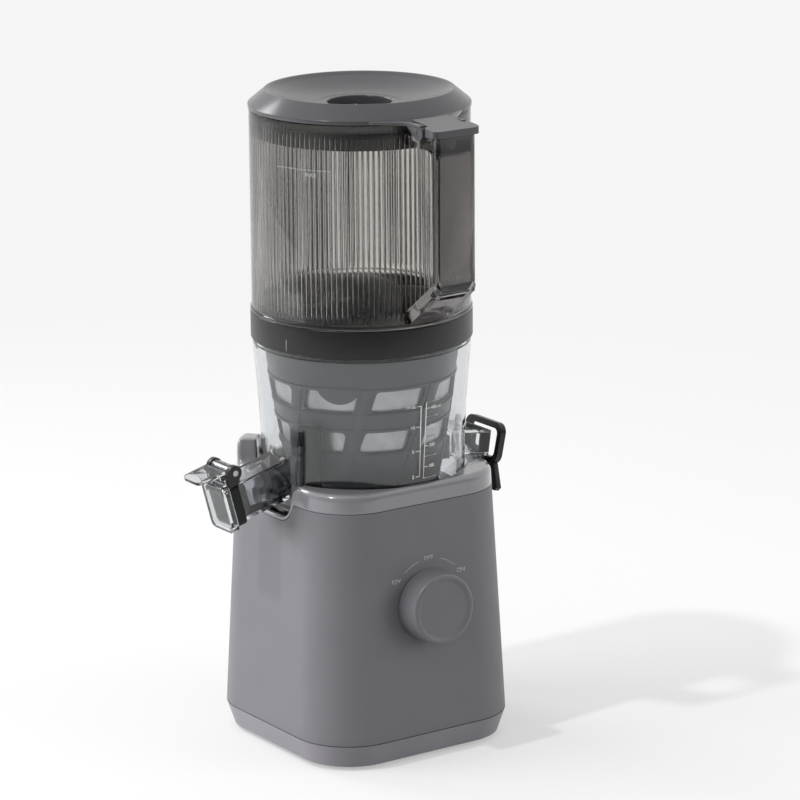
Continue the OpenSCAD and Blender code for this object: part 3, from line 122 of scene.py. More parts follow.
class JuicerFinish(bpy.types.PropertyGroup):
    """Colours of the finishes as sRGB hex values"""
    body: bpy.props.StringProperty(name="Body", description="Satin ABS of the base", default="6C6B70")
    deck: bpy.props.StringProperty(name="Deck", description="Gloss ABS of the deck", default="7B7A7F")
    black: bpy.props.StringProperty(name="Black", description="Textured black ABS", default="1A1A1B")
    smoke: bpy.props.StringProperty(name="Smoke", description="Tint of the smoked hopper", default="E7E5E2")
    thick_smoke: bpy.props.StringProperty(name="Thick smoke", description="Tint of the solid smoked handle",
                                          default="979291")
    clear: bpy.props.StringProperty(name="Clear", description="Tint of the clear bowl", default="E9ECEE")
    strainer: bpy.props.StringProperty(name="Strainer", description="Grey of the strainer frame",
                                       default="858689")
    rubber: bpy.props.StringProperty(name="Rubber", description="Black silicone rubber", default="19191A")
    print_white: bpy.props.StringProperty(name="Print", description="Pad printed marks", default="E4E4E2")
    floor: bpy.props.StringProperty(name="Floor", description="Colour of the studio floor", default="EDEDED")


def length(name, description, value_mm, low_mm, high_mm):
    """A length property; its arguments are in millimetres and its value in metres."""
    return bpy.props.FloatProperty(name=name, description=description, default=value_mm * MM,
                                   min=low_mm * MM, max=high_mm * MM, unit="LENGTH", precision=4)


class JuicerBase(bpy.types.PropertyGroup):
    """Sizes of the motor base, its deck and its knob"""
    seam: length("Tray seam", "Height of the seam above the tray", 18.5, 10, 40)
    foot_half: length("Foot half side", "Half side of the housing at the tray seam", 81.0, 60, 100)
    foot_corner: length("Foot corner", "Corner radius at the tray seam", 41.0, 20, 60)
    deck_seam: length("Deck seam", "Height of the seam below the deck", 178.5, 120, 200)
    deck_half: length("Deck half side", "Half side at the deck seam", 73.6, 60, 100)
    deck_corner: length("Deck corner", "Corner radius at the deck seam", 38.0, 20, 60)
    deck_top: length("Deck top", "Height of the deck's rim", 191.2, 150, 220)
    shoulder: length("Shoulder", "Radius of the deck's shoulder", 4.0, 0.5, 8)
    wall: length("Wall", "Wall of the housing", 2.6, 1, 5)
    joint_gap: length("Joint gap", "Width of the dark joint between the mouldings", 0.4, 0.1, 1)
    notch: length("Notch bottom", "Height of the U-notches' lowest point", 167.0, 150, 180)
    notch_half: length("Notch half width", "Half width of a U-notch", 22.0, 15, 30)
    notch_corner: length("Notch corner", "Radius of a U-notch's bottom corners", 13.0, 4, 15)
    notch_flare: length("Notch flare", "Radius that flares a U-notch's upper corners", 7.0, 2, 9)
    lip: length("Notch lip", "Width of the deck's lip round a notch", 2.4, 1, 4)
    guide_rise: length("Guide rise", "Height of the rear guides above the rim", 14.6, 0, 25)
    seat_radius: length("Seat radius", "Radius of the bowl's seat", 70.4, 60, 80)
    seat_floor: length("Seat floor", "Height of the seat's floor", 163.0, 140, 180)
    knob_height: length("Knob height", "Height of the knob's centre", 108.5, 60, 150)
    knob_radius: length("Knob radius", "Radius of the knob", 24.0, 15, 30)
    knob_depth: length("Knob depth", "How far the knob stands out", 19.0, 10, 30)


DRUM_LOW, DRUM_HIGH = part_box("hopper_drum")
RING_LOW, RING_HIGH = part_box("lock_ring")
LID_LOW, LID_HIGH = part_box("lid")


class JuicerHopper(bpy.types.PropertyGroup):
    """Sizes of the hopper"""
    radius: length("Drum radius", "Outer radius of the smoke drum", 74.2, 60, 90)
    wall: length("Drum wall", "Wall of the drum at the foot of the flutes", 2.6, 1, 5)
    bottom: length("Drum bottom", "Height of the drum's lower edge", DRUM_LOW.z / MM, 250, 350)
    top: length("Drum top", "Height of the drum's upper edge", DRUM_HIGH.z / MM, 380, 480)
    ring_radius: length("Ring radius", "Outer radius of the black ring", RING_HIGH.x / MM, 60, 90)
    ring_bottom: length("Ring bottom", "Height of the ring's lower edge", RING_LOW.z / MM, 250, 350)
    flute_depth: length("Flute depth", "How far a rib stands out of the inner wall", 0.55, 0.2, 1.5)
    flutes: bpy.props.IntProperty(name="Flutes", description="Flutes round the drum's inside", default=126,
                                  min=40, max=200)


class JuicerLid(bpy.types.PropertyGroup):
    """Sizes of the lid"""
    top: length("Lid top", "Height of the lid's rim", LID_HIGH.z / MM, 400, 500)
    rim_radius: length("Rim radius", "Radius of the lid's upper rim", 63.5, 50, 75)
    band_radius: length("Band radius", "Radius of the lid's band", 74.8, 60, 90)
    band_bottom: length("Band bottom", "Height of the band's lower edge", 438.0, 380, 480)
    bevel_foot: length("Bevel foot", "Height at which the bevel starts", 440.6, 380, 480)
    hole_radius: length("Feed hole radius", "Radius of the feed hole", 21.5, 10, 40)
    hole_lip: length("Feed hole lip", "Height of the feed hole's lip", 440.4, 380, 480)
    chute_bottom: length("Chute bottom", "Height of the feed chute's lower edge", 431.0, 380, 480)
    skirt_radius: length("Skirt radius", "Radius of the skirt inside the drum", 70.4, 50, 80)
    skirt_bottom: length("Skirt bottom", "Height of the skirt's lower edge", 420.0, 380, 480)


# ---- materials ----

ABS_IOR = 1.53
SAN_IOR = 1.57


def linear(hex_colour):
    """An sRGB hex value as a linear RGBA colour."""
    c = np.array([int(hex_colour[i:i + 2], 16) for i in (0, 2, 4)]) / 255
    return (*np.where(c <= 0.04045, c / 12.92, ((c + 0.055) / 1.055) ** 2.4), 1.0)


def add(tree, kind, inputs=None, **settings):
    """Adds a node to a tree. inputs are its inputs by name or number, each a value or another node's output,
    and settings are its properties or its inputs' values by name."""
    node = tree.nodes.new(kind)
    for name, value in settings.items():
        if hasattr(node, name):
            setattr(node, name, value)
        else:
            node.inputs[name.replace("_", " ")].default_value = value
    for name, source in (inputs or {}).items():
        if isinstance(source, bpy.types.NodeSocket):
            tree.links.new(source, node.inputs[name])
        else:
            node.inputs[name].default_value = source
    return node


def new_material(name):
    """A new material and its empty node tree."""
    material = bpy.data.materials.new(name)
    material.use_nodes = True
    material.node_tree.nodes.clear()
    return material, material.node_tree


def close(tree, surface):
    """Joins a shader to the material's output."""
    add(tree, "ShaderNodeOutputMaterial", {"Surface": surface})


def object_point(tree):
    """The place of a point on its own piece, which a pattern keeps in every pose."""
    return add(tree, "ShaderNodeTexCoord").outputs["Object"]


def grain(tree, size, distance, detail=3.0):
    """A bump of fine grain: size is the grain's width and distance its depth, in metres."""
    noise = add(tree, "ShaderNodeTexNoise", {"Vector": object_point(tree)}, Scale=1 / size, Detail=detail,
                Roughness=0.6)
    bump = add(tree, "ShaderNodeBump", {"Height": noise.outputs["Fac"]}, Distance=distance, Strength=1.0)
    return bump.outputs[0]


def mottle(tree, dark, light, size):
    """A slow change of colour between two hex values over size metres."""
    noise = add(tree, "ShaderNodeTexNoise", {"Vector": object_point(tree)}, Scale=1 / size, Detail=2.0)
    ramp = add(tree, "ShaderNodeValToRGB", {"Fac": noise.outputs["Fac"]})
    for stop, position, colour in zip(ramp.color_ramp.elements, (0.35, 0.65), (dark, light)):
        stop.position = position
        stop.color = linear(colour)
    return ramp.outputs[0]


def shade(hex_colour, factor):
    """A hex value made lighter or darker by a factor."""
    return "".join(f"{min(255, round(int(hex_colour[i:i + 2], 16) * factor)):02X}" for i in (0, 2, 4))


def rough_variation(tree, low, high, size):
    """Roughness that drifts between two values over size metres, as handling and mould flow leave it."""
    noise = add(tree, "ShaderNodeTexNoise", {"Vector": object_point(tree)}, Scale=1 / size, Detail=4.0)
    spread = add(tree, "ShaderNodeMapRange", {"Value": noise.outputs["Fac"]}, From_Min=0.3, From_Max=0.7,
                 To_Min=low, To_Max=high)
    return spread.outputs[0]


def moulded(name, colour, rough, grain_size, grain_depth, coat=0.0):
    """Injection moulded plastic: a spark-eroded grain in the tool gives the surface its fine even texture,
    which is drawn about ten times as wide as the real 0.05 mm so that it shows. Pigment drifts by about 1 per
    cent over 45 mm, and handling changes the sheen over 20 mm. A coat stands for a highly polished tool."""
    material, tree = new_material(name)
    bsdf = add(tree, "ShaderNodeBsdfPrincipled", {
        "Base Color": mottle(tree, shade(colour, 0.988), shade(colour, 1.012), 0.045),
        "Roughness": rough_variation(tree, rough * 0.92, rough * 1.08, 0.02),
        "Normal": grain(tree, grain_size, grain_depth)}, IOR=ABS_IOR, Coat_Weight=coat, Coat_Roughness=0.05)
    close(tree, bsdf.outputs[0])
    return material


def see_through(name, colour, rough, depth):
    """Clear SAN plastic, polished in the tool: glass-like, with the faint unevenness of mould flow, depth
    metres deep and 12 mm wide."""
    material, tree = new_material(name)
    bsdf = add(tree, "ShaderNodeBsdfPrincipled", {
        "Base Color": mottle(tree, shade(colour, 0.99), shade(colour, 1.01), 0.05),
        "Roughness": rough_variation(tree, rough, rough * 2.5, 0.03),
        "Normal": grain(tree, 0.012, depth, detail=1.0)}, IOR=SAN_IOR, Transmission_Weight=1.0)
    close(tree, bsdf.outputs[0])
    return material


def metal(name, colour, rough, grain_size, grain_depth, stretch=(1, 1, 1)):
    """Bare metal: grinding or drawing leaves fine lines, shorter along an axis by its stretch."""
    material, tree = new_material(name)
    stretched = add(tree, "ShaderNodeMapping", {"Vector": object_point(tree)}, Scale=stretch)
    noise = add(tree, "ShaderNodeTexNoise", {"Vector": stretched.outputs[0]}, Scale=1 / grain_size,
                Detail=4.0)
    bump = add(tree, "ShaderNodeBump", {"Height": noise.outputs["Fac"]}, Distance=grain_depth, Strength=1.0)
    bsdf = add(tree, "ShaderNodeBsdfPrincipled", {
        "Base Color": mottle(tree, shade(colour, 0.96), shade(colour, 1.03), 0.008),
        "Roughness": rough_variation(tree, rough * 0.85, rough * 1.2, 0.004),
        "Normal": bump.outputs[0]}, Metallic=1.0)
    close(tree, bsdf.outputs[0])
    return material


def make_finishes():
    """Makes every finish and gives them back by name. Each row gives the colour, the roughness, and the
    grain's width in millimetres and depth in micrometres; a glossy moulding adds its coat and a worked metal
    the stretch of its lines."""
    colours = bpy.context.scene.juicer_finish
    finishes = {}
    for name, (colour, rough, width, depth, *coat) in {
        # Grained ABS: a soft even sheen with no sharp reflection
        "satin_abs_grey": (colours.body, 0.46, 0.7, 12),
        # Painted light: the tray is the body's grey made 1.2 times paler, to make up for the light its
        # downward-facing sides miss
        "satin_abs_tray": (shade(colours.body, 1.2), 0.42, 0.7, 12),
        "satin_abs_knob": (shade(colours.body, 0.98), 0.36, 0.7, 4),
        # Polished ABS: a clear highlight on a softly shaded body
        "gloss_abs_deck": (colours.deck, 0.2, 1.2, 1, 1.0),
        # Black ABS: dark, with a broad grey highlight on its edges
        "textured_abs_black": (shade(colours.black, 0.85), 0.36, 0.6, 8),
        # The lid's finer grain mirrors the pale studio softly. Its colour is also the black made 2.8 times
        # paler: painted light standing in for the light from above that it catches, so it looks dark grey
        "satin_abs_lid": (shade(colours.black, 2.8), 0.22, 0.6, 4),
        # Glass-filled polymers of the pressing parts: mid grey with a dull shine
        "strainer_polymer": (colours.strainer, 0.38, 0.9, 8),
        "auger_polymer": (shade(colours.strainer, 0.64), 0.34, 0.9, 8),
        # Pad printed ink: flat and opaque, thinner on the dark parts
        "pad_print_white": (colours.print_white, 0.5, 0.5, 4),
        "pad_print_grey": (shade(colours.print_white, 0.72), 0.5, 0.5, 4),
        # Moulded silicone: matt, and it takes no reflection
        "silicone_black": (colours.rubber, 0.6, 0.5, 10),
        "silicone_grey": ("4A4B4E", 0.6, 0.5, 10),
        # Nylon: waxy, black for the fan and switches and left natural for the gear
        "inner_nylon_black": ("2A2B2D", 0.5, 0.6, 10),
        "nylon_natural": ("D8D4C8", 0.42, 0.8, 6),
        # Solder mask: a thin green lacquer with a wet gloss
        "solder_mask_green": ("2F6B45", 0.25, 1.5, 4, 0.4),
    }.items():
        finishes[name] = moulded(name, colour, rough, width * MM, depth * MM * MM, *coat)
    for name, (colour, rough, width, depth, *stretch) in {
        # Ground and drawn steel: fine rings round the axis that draw the highlight out
        "ground_steel": ("BDBEC0", 0.26, 0.4, 4, (1, 1, 8)),
        "drawn_steel": ("94969A", 0.38, 0.6, 6, (1, 1, 6)),
        # Etched steel: an even silvery matt on the strainer's sheet
        "etched_steel": ("E6E6E4", 0.42, 0.4, 4),
        # Cast zinc: dull and slightly pitted
        "cast_zinc": ("A2A4A7", 0.5, 0.9, 20),
        # Stacked sheets: level lines, one for each sheet
        "stacked_laminations": ("6F6A66", 0.5, 0.5, 20, (0.1, 0.1, 1)),
        # Wound wire: copper under a glossy enamel, in ridges
        "enamelled_copper": ("A8622F", 0.3, 0.8, 80, (0.3, 0.3, 1)),
    }.items():
        finishes[name] = metal(name, colour, rough, width * MM, depth * MM * MM, *stretch)
    for name, (colour, rough, depth) in {
        # SAN: smoke-tinted for the hopper, clear for the bowl; a thick wall looks darker at its edges
        "smoked_san": (colours.smoke, 0.01, 2),
        "smoked_san_solid": (colours.thick_smoke, 0.05, 10),
        "clear_san": (colours.clear, 0.015, 10),
    }.items():
        finishes[name] = see_through(name, colour, rough, depth * MM * MM)
    return finishes


CAD_FINISHES = {
    "satin_abs_grey": ["housing"],
    "satin_abs_tray": ["bottom_tray"],
    "gloss_abs_deck": ["deck"],
    "satin_abs_knob": ["knob"],
    "satin_abs_lid": ["lid", "handle_cap"],
    "textured_abs_black": ["lock_ring", "hopper_floor", "cap_hinge", "feed_flap", "pulp_gate",
                           "chopping_head"],
    "smoked_san": ["hopper_drum"],
    "smoked_san_solid": ["handle"],
    "clear_san": ["juicing_bowl", "juice_cap"],
    "strainer_polymer": ["strainer_frame"],
    "auger_polymer": ["auger"],
    "silicone_black": ["feet", "motor_mounts", "cap_seal", "pulp_seal", "outlet_seal", "shaft_seal"],
    "silicone_grey": ["bowl_gasket", "hopper_seal", "lid_seal"],
    "inner_nylon_black": ["fan", "rotary_switch", "interlock_switch", "cord_gland"],
    "nylon_natural": ["idler_gear"],
    "solder_mask_green": ["control_board"],
    "ground_steel": ["tray_screws", "deck_screws", "gearbox_screws", "output_shaft", "auger_bush", "cap_pin",
                     "gate_pin", "lid_hinge_pin", "flap_pin", "flap_spring", "idler_pin", "knob_shaft",
                     "motor_bearings", "output_bearing", "output_gear", "motor_pinion"],
    "etched_steel": ["strainer_mesh"],
    "drawn_steel": ["motor_can"],
    "cast_zinc": ["motor_endbell", "gearbox_case", "gearbox_cover"],
    "stacked_laminations": ["stator", "rotor"],
    "enamelled_copper": ["windings"],
}


# ---- shapes worked out with numpy; lengths in this section are in millimetres ----

SHARP = 38          # degrees between two faces above which their common edge stays sharp
CAD_SHARP = 34      # the same on a copy of a CAD node


def unit(v):
    """Vectors cut or drawn out to length 1."""
    return v / np.linalg.norm(v, axis=-1, keepdims=True)


def outline(corners, closed=True, steps=7):
    """A line in a plane from corners (x, y, radius). Each corner becomes an arc that touches both its sides:
    its centre lies on the corner's bisector at radius / sin(half the corner's angle), and its points are
    the centre plus the radius times the unit vector at an angle that runs from one touching point to the
    other."""
    corners = np.array([(*c, 0.02)[:3] if len(c) == 2 else c for c in corners], float)
    p, radius = corners[:, :2], corners[:, 2:]
    back, ahead = unit(np.roll(p, 1, 0) - p), unit(np.roll(p, -1, 0) - p)
    half = np.arccos(np.clip((back * ahead).sum(1, keepdims=True), -1, 1)) / 2
    centre = p + unit(back + ahead + 1e-9) * radius / np.sin(half)
    reach = radius / np.tan(half)
    first, last = p + back * reach - centre, p + ahead * reach - centre
    start = np.arctan2(first[:, 1], first[:, 0])
    turn = np.arctan2(first[:, 0] * last[:, 1] - first[:, 1] * last[:, 0], (first * last).sum(1))
    angle = start[:, None] + turn[:, None] * np.linspace(0, 1, steps)
    arcs = centre[:, None] + radius[:, None] * np.stack([np.cos(angle), np.sin(angle)], -1)
    if closed:
        return arcs.reshape(-1, 2)
    return np.vstack([p[:1], arcs[1:-1].reshape(-1, 2), p[-1:]])


def surface(name, points, wrap_u=False, wrap_v=False, cap_start=False, cap_end=False, sharp=SHARP,
            scale=MM):
    """A mesh from a grid of points (rows u, columns v). A wrapped side joins its last line to its first,
    and a cap closes the first or last row with a fan about its middle."""
    rows, columns = points.shape[:2]
    index = np.arange(rows * columns).reshape(rows, columns)
    if wrap_u:
        index = np.vstack([index, index[:1]])
    if wrap_v:
        index = np.hstack([index, index[:, :1]])
    faces = np.stack([index[:-1, :-1], index[:-1, 1:], index[1:, 1:], index[1:, :-1]], -1)
    faces = faces.reshape(-1, 4).tolist()
    vertices = points.reshape(-1, 3) * scale
    for wanted, row in ((cap_start, index[0]), (cap_end, index[-1][::-1])):
        if wanted:
            middle = np.full(len(row) - 1, len(vertices))
            vertices = np.vstack([vertices, vertices[row[:columns]].mean(0)])
            faces += np.stack([row[1:], row[:-1], middle], -1).tolist()
    return solid(name, vertices, faces, sharp)


def linked(name, mesh, sharp):
    """An object of a mesh, smooth but for its edges above sharp degrees, at the origin of the scene."""
    mesh.shade_smooth()
    mesh.set_sharp_from_angle(angle=math.radians(sharp))
    piece = bpy.data.objects.new(name, mesh)
    bpy.context.scene.collection.objects.link(piece)
    return piece


def solid(name, vertices, faces, sharp=SHARP):
    """An object from vertices and faces, its doubles merged and its faces turned outwards."""
    mesh = bpy.data.meshes.new(name)
    mesh.from_pydata(np.asarray(vertices).tolist(), [], faces)
    work = bmesh.new()
    work.from_mesh(mesh)
    bmesh.ops.remove_doubles(work, verts=work.verts, dist=1e-6)
    bmesh.ops.dissolve_degenerate(work, edges=work.edges, dist=1e-7)
    bmesh.ops.recalc_face_normals(work, faces=work.faces)
    work.to_mesh(mesh)
    work.free()
    return linked(name, mesh, sharp)


def turned(name, corners, closed=True, around=192, steps=7, sharp=SHARP, move=None):
    """A form turned about Z from an outline (radius, height, corner radius): the point at angle a is
    (radius cos a, radius sin a, height). A closed outline gives a ring, and an open one a solid whose first
    and last points are closed across the axis. move carries the grid of points to its place."""
    line = outline(corners, closed, steps)
    a = np.linspace(0, 2 * np.pi, around, endpoint=False)
    points = np.stack([line[:, :1] * np.cos(a), line[:, :1] * np.sin(a), line[:, 1:] + 0 * a], -1)
    if move is not None:
        points = move(points)
    return surface(name, points, wrap_u=closed, wrap_v=True, cap_start=not closed, cap_end=not closed,
                   sharp=sharp)


def slab(name, corners, low, high, edge):
    """A plate: a closed outline (x, y, corner radius) between two heights. t runs over a quarter turn at each
    rim, where the outline moves in by edge (1 - sin t) and up by edge (1 - cos t), so both are rounded."""
    line = outline(corners)
    ahead = np.roll(line, -1, 0) - np.roll(line, 1, 0)
    area = (line[:, 0] * np.roll(line[:, 1], -1) - line[:, 1] * np.roll(line[:, 0], -1)).sum()
    inward = unit(np.stack([-ahead[:, 1], ahead[:, 0]], -1)) * np.sign(area)
    t = np.linspace(0, np.pi / 2, 4)
    inset = np.concatenate([edge * (1 - np.sin(t)), edge * (1 - np.sin(t[::-1]))])
    height = np.concatenate([low + edge * (1 - np.cos(t)), high - edge * (1 - np.cos(t[::-1]))])
    flat = line + inward * inset[:, None, None]
    points = np.concatenate([flat, np.broadcast_to(height[:, None, None], (*flat.shape[:2], 1))], -1)
    return surface(name, points, wrap_v=True, cap_start=True, cap_end=True)


def softened(node, name, edge):
    """A copy of a CAD node, its loose triangles merged, its flat faces joined and its edges rounded."""
    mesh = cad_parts[node].data.copy()
    mesh.name = name
    work = bmesh.new()
    work.from_mesh(mesh)
    bmesh.ops.remove_doubles(work, verts=work.verts, dist=2e-6)
    bmesh.ops.dissolve_limit(work, angle_limit=math.radians(0.5), verts=work.verts, edges=work.edges)
    work.to_mesh(mesh)
    work.free()
    piece = linked(name, mesh, CAD_SHARP)
    if edge:
        bevel = piece.modifiers.new("rounded_edges", "BEVEL")
        bevel.width = edge * MM
        bevel.segments = 2
        bevel.limit_method = "ANGLE"
        bevel.angle_limit = math.radians(CAD_SHARP)
        bevel.use_clamp_overlap = True
        bevel.harden_normals = False
    return piece


def join(name, pieces):
    """Several pieces as one object."""
    mesh = bpy.data.meshes.new(name)
    work = bmesh.new()
    for piece in pieces:
        work.from_mesh(piece.data)
        bpy.data.objects.remove(piece)
    work.to_mesh(mesh)
    work.free()
    return linked(name, mesh, SHARP)


def place(piece, body, finish, nodes=()):
    """Gives a piece its finish and its body, and hides the CAD nodes that it stands for."""
    piece.data.materials.clear()
    piece.data.materials.append(bpy.data.materials[finish])
    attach(piece, body)
    if nodes:
        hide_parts(*nodes)
    return piece


# ---- the base's tapered form ----

SIDE_REACH = 34.0           # how far a side's columns reach from its middle, past the widest notch
SEAM_FLARE = 5.0            # radius that flares the seam's upper corners below a notch
SIDE_COLUMNS = (44, 14)     # columns along half a side, with a notch and without
CORNER_COLUMNS = 25         # columns round a corner
GUIDE_SPREAD = (13, 30)     # degrees from a corner's middle over which a guide falls to the rim


def tapered(z, foot, deck):
    """A size of the base at height z, on a straight line between its values at the two seams."""
    s = bpy.context.scene.juicer_base
    return (foot + (deck - foot) * (z * MM - s.seam) / (s.deck_seam - s.seam)) / MM


def base_half(z):
    """Half side of the tapered base at height z."""
    s = bpy.context.scene.juicer_base
    return tapered(z, s.foot_half, s.deck_half)


def base_corner(z):
    """Corner radius of the tapered base at height z."""
    s = bpy.context.scene.juicer_base
    return tapered(z, s.foot_corner, s.deck_corner)


def smooth_step(x, low, high):
    """t t (3 - 2 t), where t runs from 0 at low to 1 at high and stays there beyond them."""
    t = np.clip((x - low) / (high - low), 0, 1)
    return t * t * (3 - 2 * t)


def notch_edge(half, bottom, corner, top, flare, reach, count):
    """Y and Z along half of a U-notch, from its middle to the reach on its level edge, at equal steps of
    length: a flat bottom, an arc of radius corner, and an arc of radius flare that touches it or a straight
    side, and the level edge."""
    c1 = np.array([half - corner, bottom + corner])
    drop = c1[1] - (top - flare)
    if drop < 0:
        c2 = np.array([half + flare, top - flare])
        end = 0.0
    else:
        c2 = np.array([c1[0] + math.sqrt((corner + flare) ** 2 - drop ** 2), top - flare])
        end = math.atan2(-drop, c2[0] - c1[0])
    a1 = np.linspace(-np.pi / 2, end, 40)[:, None]
    a2 = np.linspace(np.pi + end, np.pi / 2, 30)[:, None]
    line = np.vstack([[[0, bottom]], c1 + corner * np.hstack([np.cos(a1), np.sin(a1)]),
                      c2 + flare * np.hstack([np.cos(a2), np.sin(a2)]), [[reach, top]]])
    length = np.concatenate([[0], np.cumsum(np.linalg.norm(np.diff(line, axis=0), axis=1))])
    at = np.linspace(0, length[-1], count)
    return np.stack([np.interp(at, length, line[:, 0]), np.interp(at, length, line[:, 1])], -1)


def base_columns():
    """The columns that go round the base: each has its quarter turn, its angle on a corner or none on a side,
    and the Y and Z of the seam and of the deck's rim where it crosses them. The first and third sides carry
    the U-notches, and the first two corners the guides."""
    s = bpy.context.scene.juicer_base
    notched, plain = SIDE_COLUMNS
    seam = notch_edge((s.notch_half + s.lip) / MM, (s.notch - s.lip) / MM, (s.notch_corner + s.lip) / MM,
                      s.deck_seam / MM, SEAM_FLARE, SIDE_REACH, notched)
    rim = notch_edge(s.notch_half / MM, s.notch / MM, s.notch_corner / MM, s.deck_top / MM,
                     s.notch_flare / MM, SIDE_REACH, notched)
    level = np.linspace(0, SIDE_REACH, plain)[:, None]
    plain_seam = np.hstack([level, np.full_like(level, s.deck_seam / MM)])
    plain_rim = np.hstack([level, np.full_like(level, s.deck_top / MM)])
    phi = np.linspace(0, np.pi / 2, CORNER_COLUMNS)
    guide_low, guide_high = np.radians(GUIDE_SPREAD)
    columns = []
    for quarter in range(4):
        low, high = (seam, rim) if quarter % 2 == 0 else (plain_seam, plain_rim)
        mirrored = [np.vstack([(line * [-1, 1])[:0:-1], line]) for line in (low, high)]
        side = np.hstack([np.full((len(mirrored[0]), 1), quarter), np.full((len(mirrored[0]), 1), np.nan),
                          *mirrored])
        guide = s.guide_rise / MM * (1 - smooth_step(abs(phi - np.pi / 4), guide_low, guide_high))
        guide = guide if quarter in (0, 1) else 0 * phi
        arc = np.stack([0 * phi + quarter, phi, 0 * phi, 0 * phi + s.deck_seam / MM, 0 * phi,
                        s.deck_top / MM + guide], -1)
        columns += [side, arc]
    return np.vstack(columns)


def base_ring(columns, y, z, inset):
    """Points on the tapered form moved in by inset: on a side (half - inset, y), on a corner the corner's
    centre plus (corner - inset) at its angle, both turned by their quarter."""
    half, corner = base_half(z), base_corner(z)
    phi = columns[:, 1]
    on_side = np.isnan(phi)
    bend = np.where(on_side, 0, phi)
    x = np.where(on_side, half - inset, half - corner + (corner - inset) * np.cos(bend))
    y = np.where(on_side, y, half - corner + (corner - inset) * np.sin(bend))
    a = columns[:, 0] * np.pi / 2
    return np.stack([x * np.cos(a) - y * np.sin(a), x * np.sin(a) + y * np.cos(a), z + 0 * x], -1)


def circle_ring(like, radius, z):
    """The points of a circle at the same angles about the axis as another ring's points."""
    flat = unit(like[:, :2]) * radius
    return np.concatenate([flat, np.broadcast_to(z, (len(flat),))[:, None]], 1)


# ---- operators ----

class JUICER_OT_finishes(bpy.types.Operator):
    """Makes every finish and gives each node of the frame its own"""
    bl_idname = "juicer.finishes"
    bl_label = "Finishes"

    def execute(self, context):
        # The frame brings materials of its own, some by the same names, so these aren't looked up by name
        finishes = make_finishes()
        for finish, nodes in CAD_FINISHES.items():
            for node in nodes:
                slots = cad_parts[node].data.materials
                slots.clear()
                slots.append(finishes[finish])
        return {"FINISHED"}


class JUICER_OT_housing(bpy.types.Operator):
    """Builds the tapered housing, whose upper edge dips under both spouts"""
    bl_idname = "juicer.housing"
    bl_label = "Housing"

    def execute(self, context):
        s = context.scene.juicer_base
        columns = base_columns()
        low = s.seam / MM + s.joint_gap / MM
        high = columns[:, 3] - s.joint_gap / MM
        wall, edge, lining = s.wall / MM, 0.5, 6
        turn = np.linspace(0, np.pi / 2, 4)
        rows = [(low + edge * (1 - math.cos(t)), edge * (1 - math.sin(t))) for t in turn]
        rows += [(low + edge + (high - low - 2 * edge) * f, 0) for f in np.linspace(0.04, 0.96, 24)]
        rows += [(high - edge * (1 - math.cos(t)), edge * (1 - math.sin(t))) for t in turn[::-1]]
        rows += [(high, wall), (high - lining, wall), ((low + high) / 2, wall), (low, wall)]
        grid = np.stack([base_ring(columns, columns[:, 2], z, inset) for z, inset in rows])
        place(surface("housing_shell", grid, wrap_u=True, wrap_v=True), "base",
              "satin_abs_grey", ["housing"])
        return {"FINISHED"}


# How far across the deck's rim a guide's inner side lies, and how much of its height is left there
GUIDE_INNER_SIDE = ((0.3, 1), (0.6, 1), (0.74, 1), (0.8, 0.94), (0.84, 0.8), (0.88, 0.3), (0.9, 0.0))
SHAFT_HOLE = 13.7       # radius of the shaft's hole in the seat's floor
COLLAR = 20             # radius of the collar round that hole
COLLAR_DEPTH = 15       # how far the collar reaches down
SEAT_THICK = 3          # thickness of the seat's floor
SEAT_WALL = 1.6         # wall of the seat


class JUICER_OT_deck(bpy.types.Operator):
    """Builds the glossy deck: its skirt, rounded shoulder, rim, the two U-notches, the guides and the seat"""
    bl_idname = "juicer.deck"
    bl_label = "Deck"

    def execute(self, context):
        s = context.scene.juicer_base
        columns = base_columns()
        y0, z0, y1, z1 = columns[:, 2:].T
        gap = np.hypot(y1 - y0, z1 - z0)
        wall, edge = s.wall / MM, 0.35
        shoulder = np.minimum(s.shoulder / MM, 0.42 * gap)
        turn = np.linspace(0, np.pi / 2, 7)

        def between(share, inset):
            """A ring at a share of the way from the seam to the rim, moved in by inset."""
            return base_ring(columns, y0 + (y1 - y0) * share, z0 + (z1 - z0) * share, inset)

        rows = [between(0 * gap, wall), between(0 * gap, edge), between(0.3 * edge / gap, 0.3 * edge),
                between(edge / gap, 0)]
        rows += [between(edge / gap + (1 - (edge + shoulder) / gap) * f, 0) for f in np.linspace(0.1, 1, 8)]
        rows += [between(1 - shoulder * (1 - math.sin(t)) / gap, shoulder * (1 - math.cos(t)))
                 for t in turn[1:]]
        last = rows[-1]
        base = np.where(np.isnan(columns[:, 1]), z1, s.deck_top / MM)
        seat = s.seat_radius / MM
        rim = circle_ring(last, seat + 0.7, base)
        for share, keep in GUIDE_INNER_SIDE:
            row = last + (rim - last) * share
            row[:, 2] = base + (z1 - base) * keep
            rows.append(row)
        rows += [rim, circle_ring(last, seat + 0.2, base - 0.2), circle_ring(last, seat, base - 0.7)]
        floor = s.seat_floor / MM
        rows += [circle_ring(last, radius, z) for radius, z in (
            (seat, floor + 1.5), (seat - 0.4, floor + 0.4), (seat - 1.5, floor), (30, floor),
            (SHAFT_HOLE + 0.5, floor), (SHAFT_HOLE, floor - 0.5), (SHAFT_HOLE, floor - COLLAR_DEPTH),
            (COLLAR, floor - COLLAR_DEPTH), (COLLAR, floor - SEAT_THICK),
            (seat + SEAT_WALL, floor - SEAT_THICK))]
        place(surface("deck_cover", np.stack(rows), wrap_u=True, wrap_v=True), "base",
              "gloss_abs_deck", ["deck"])
        return {"FINISHED"}


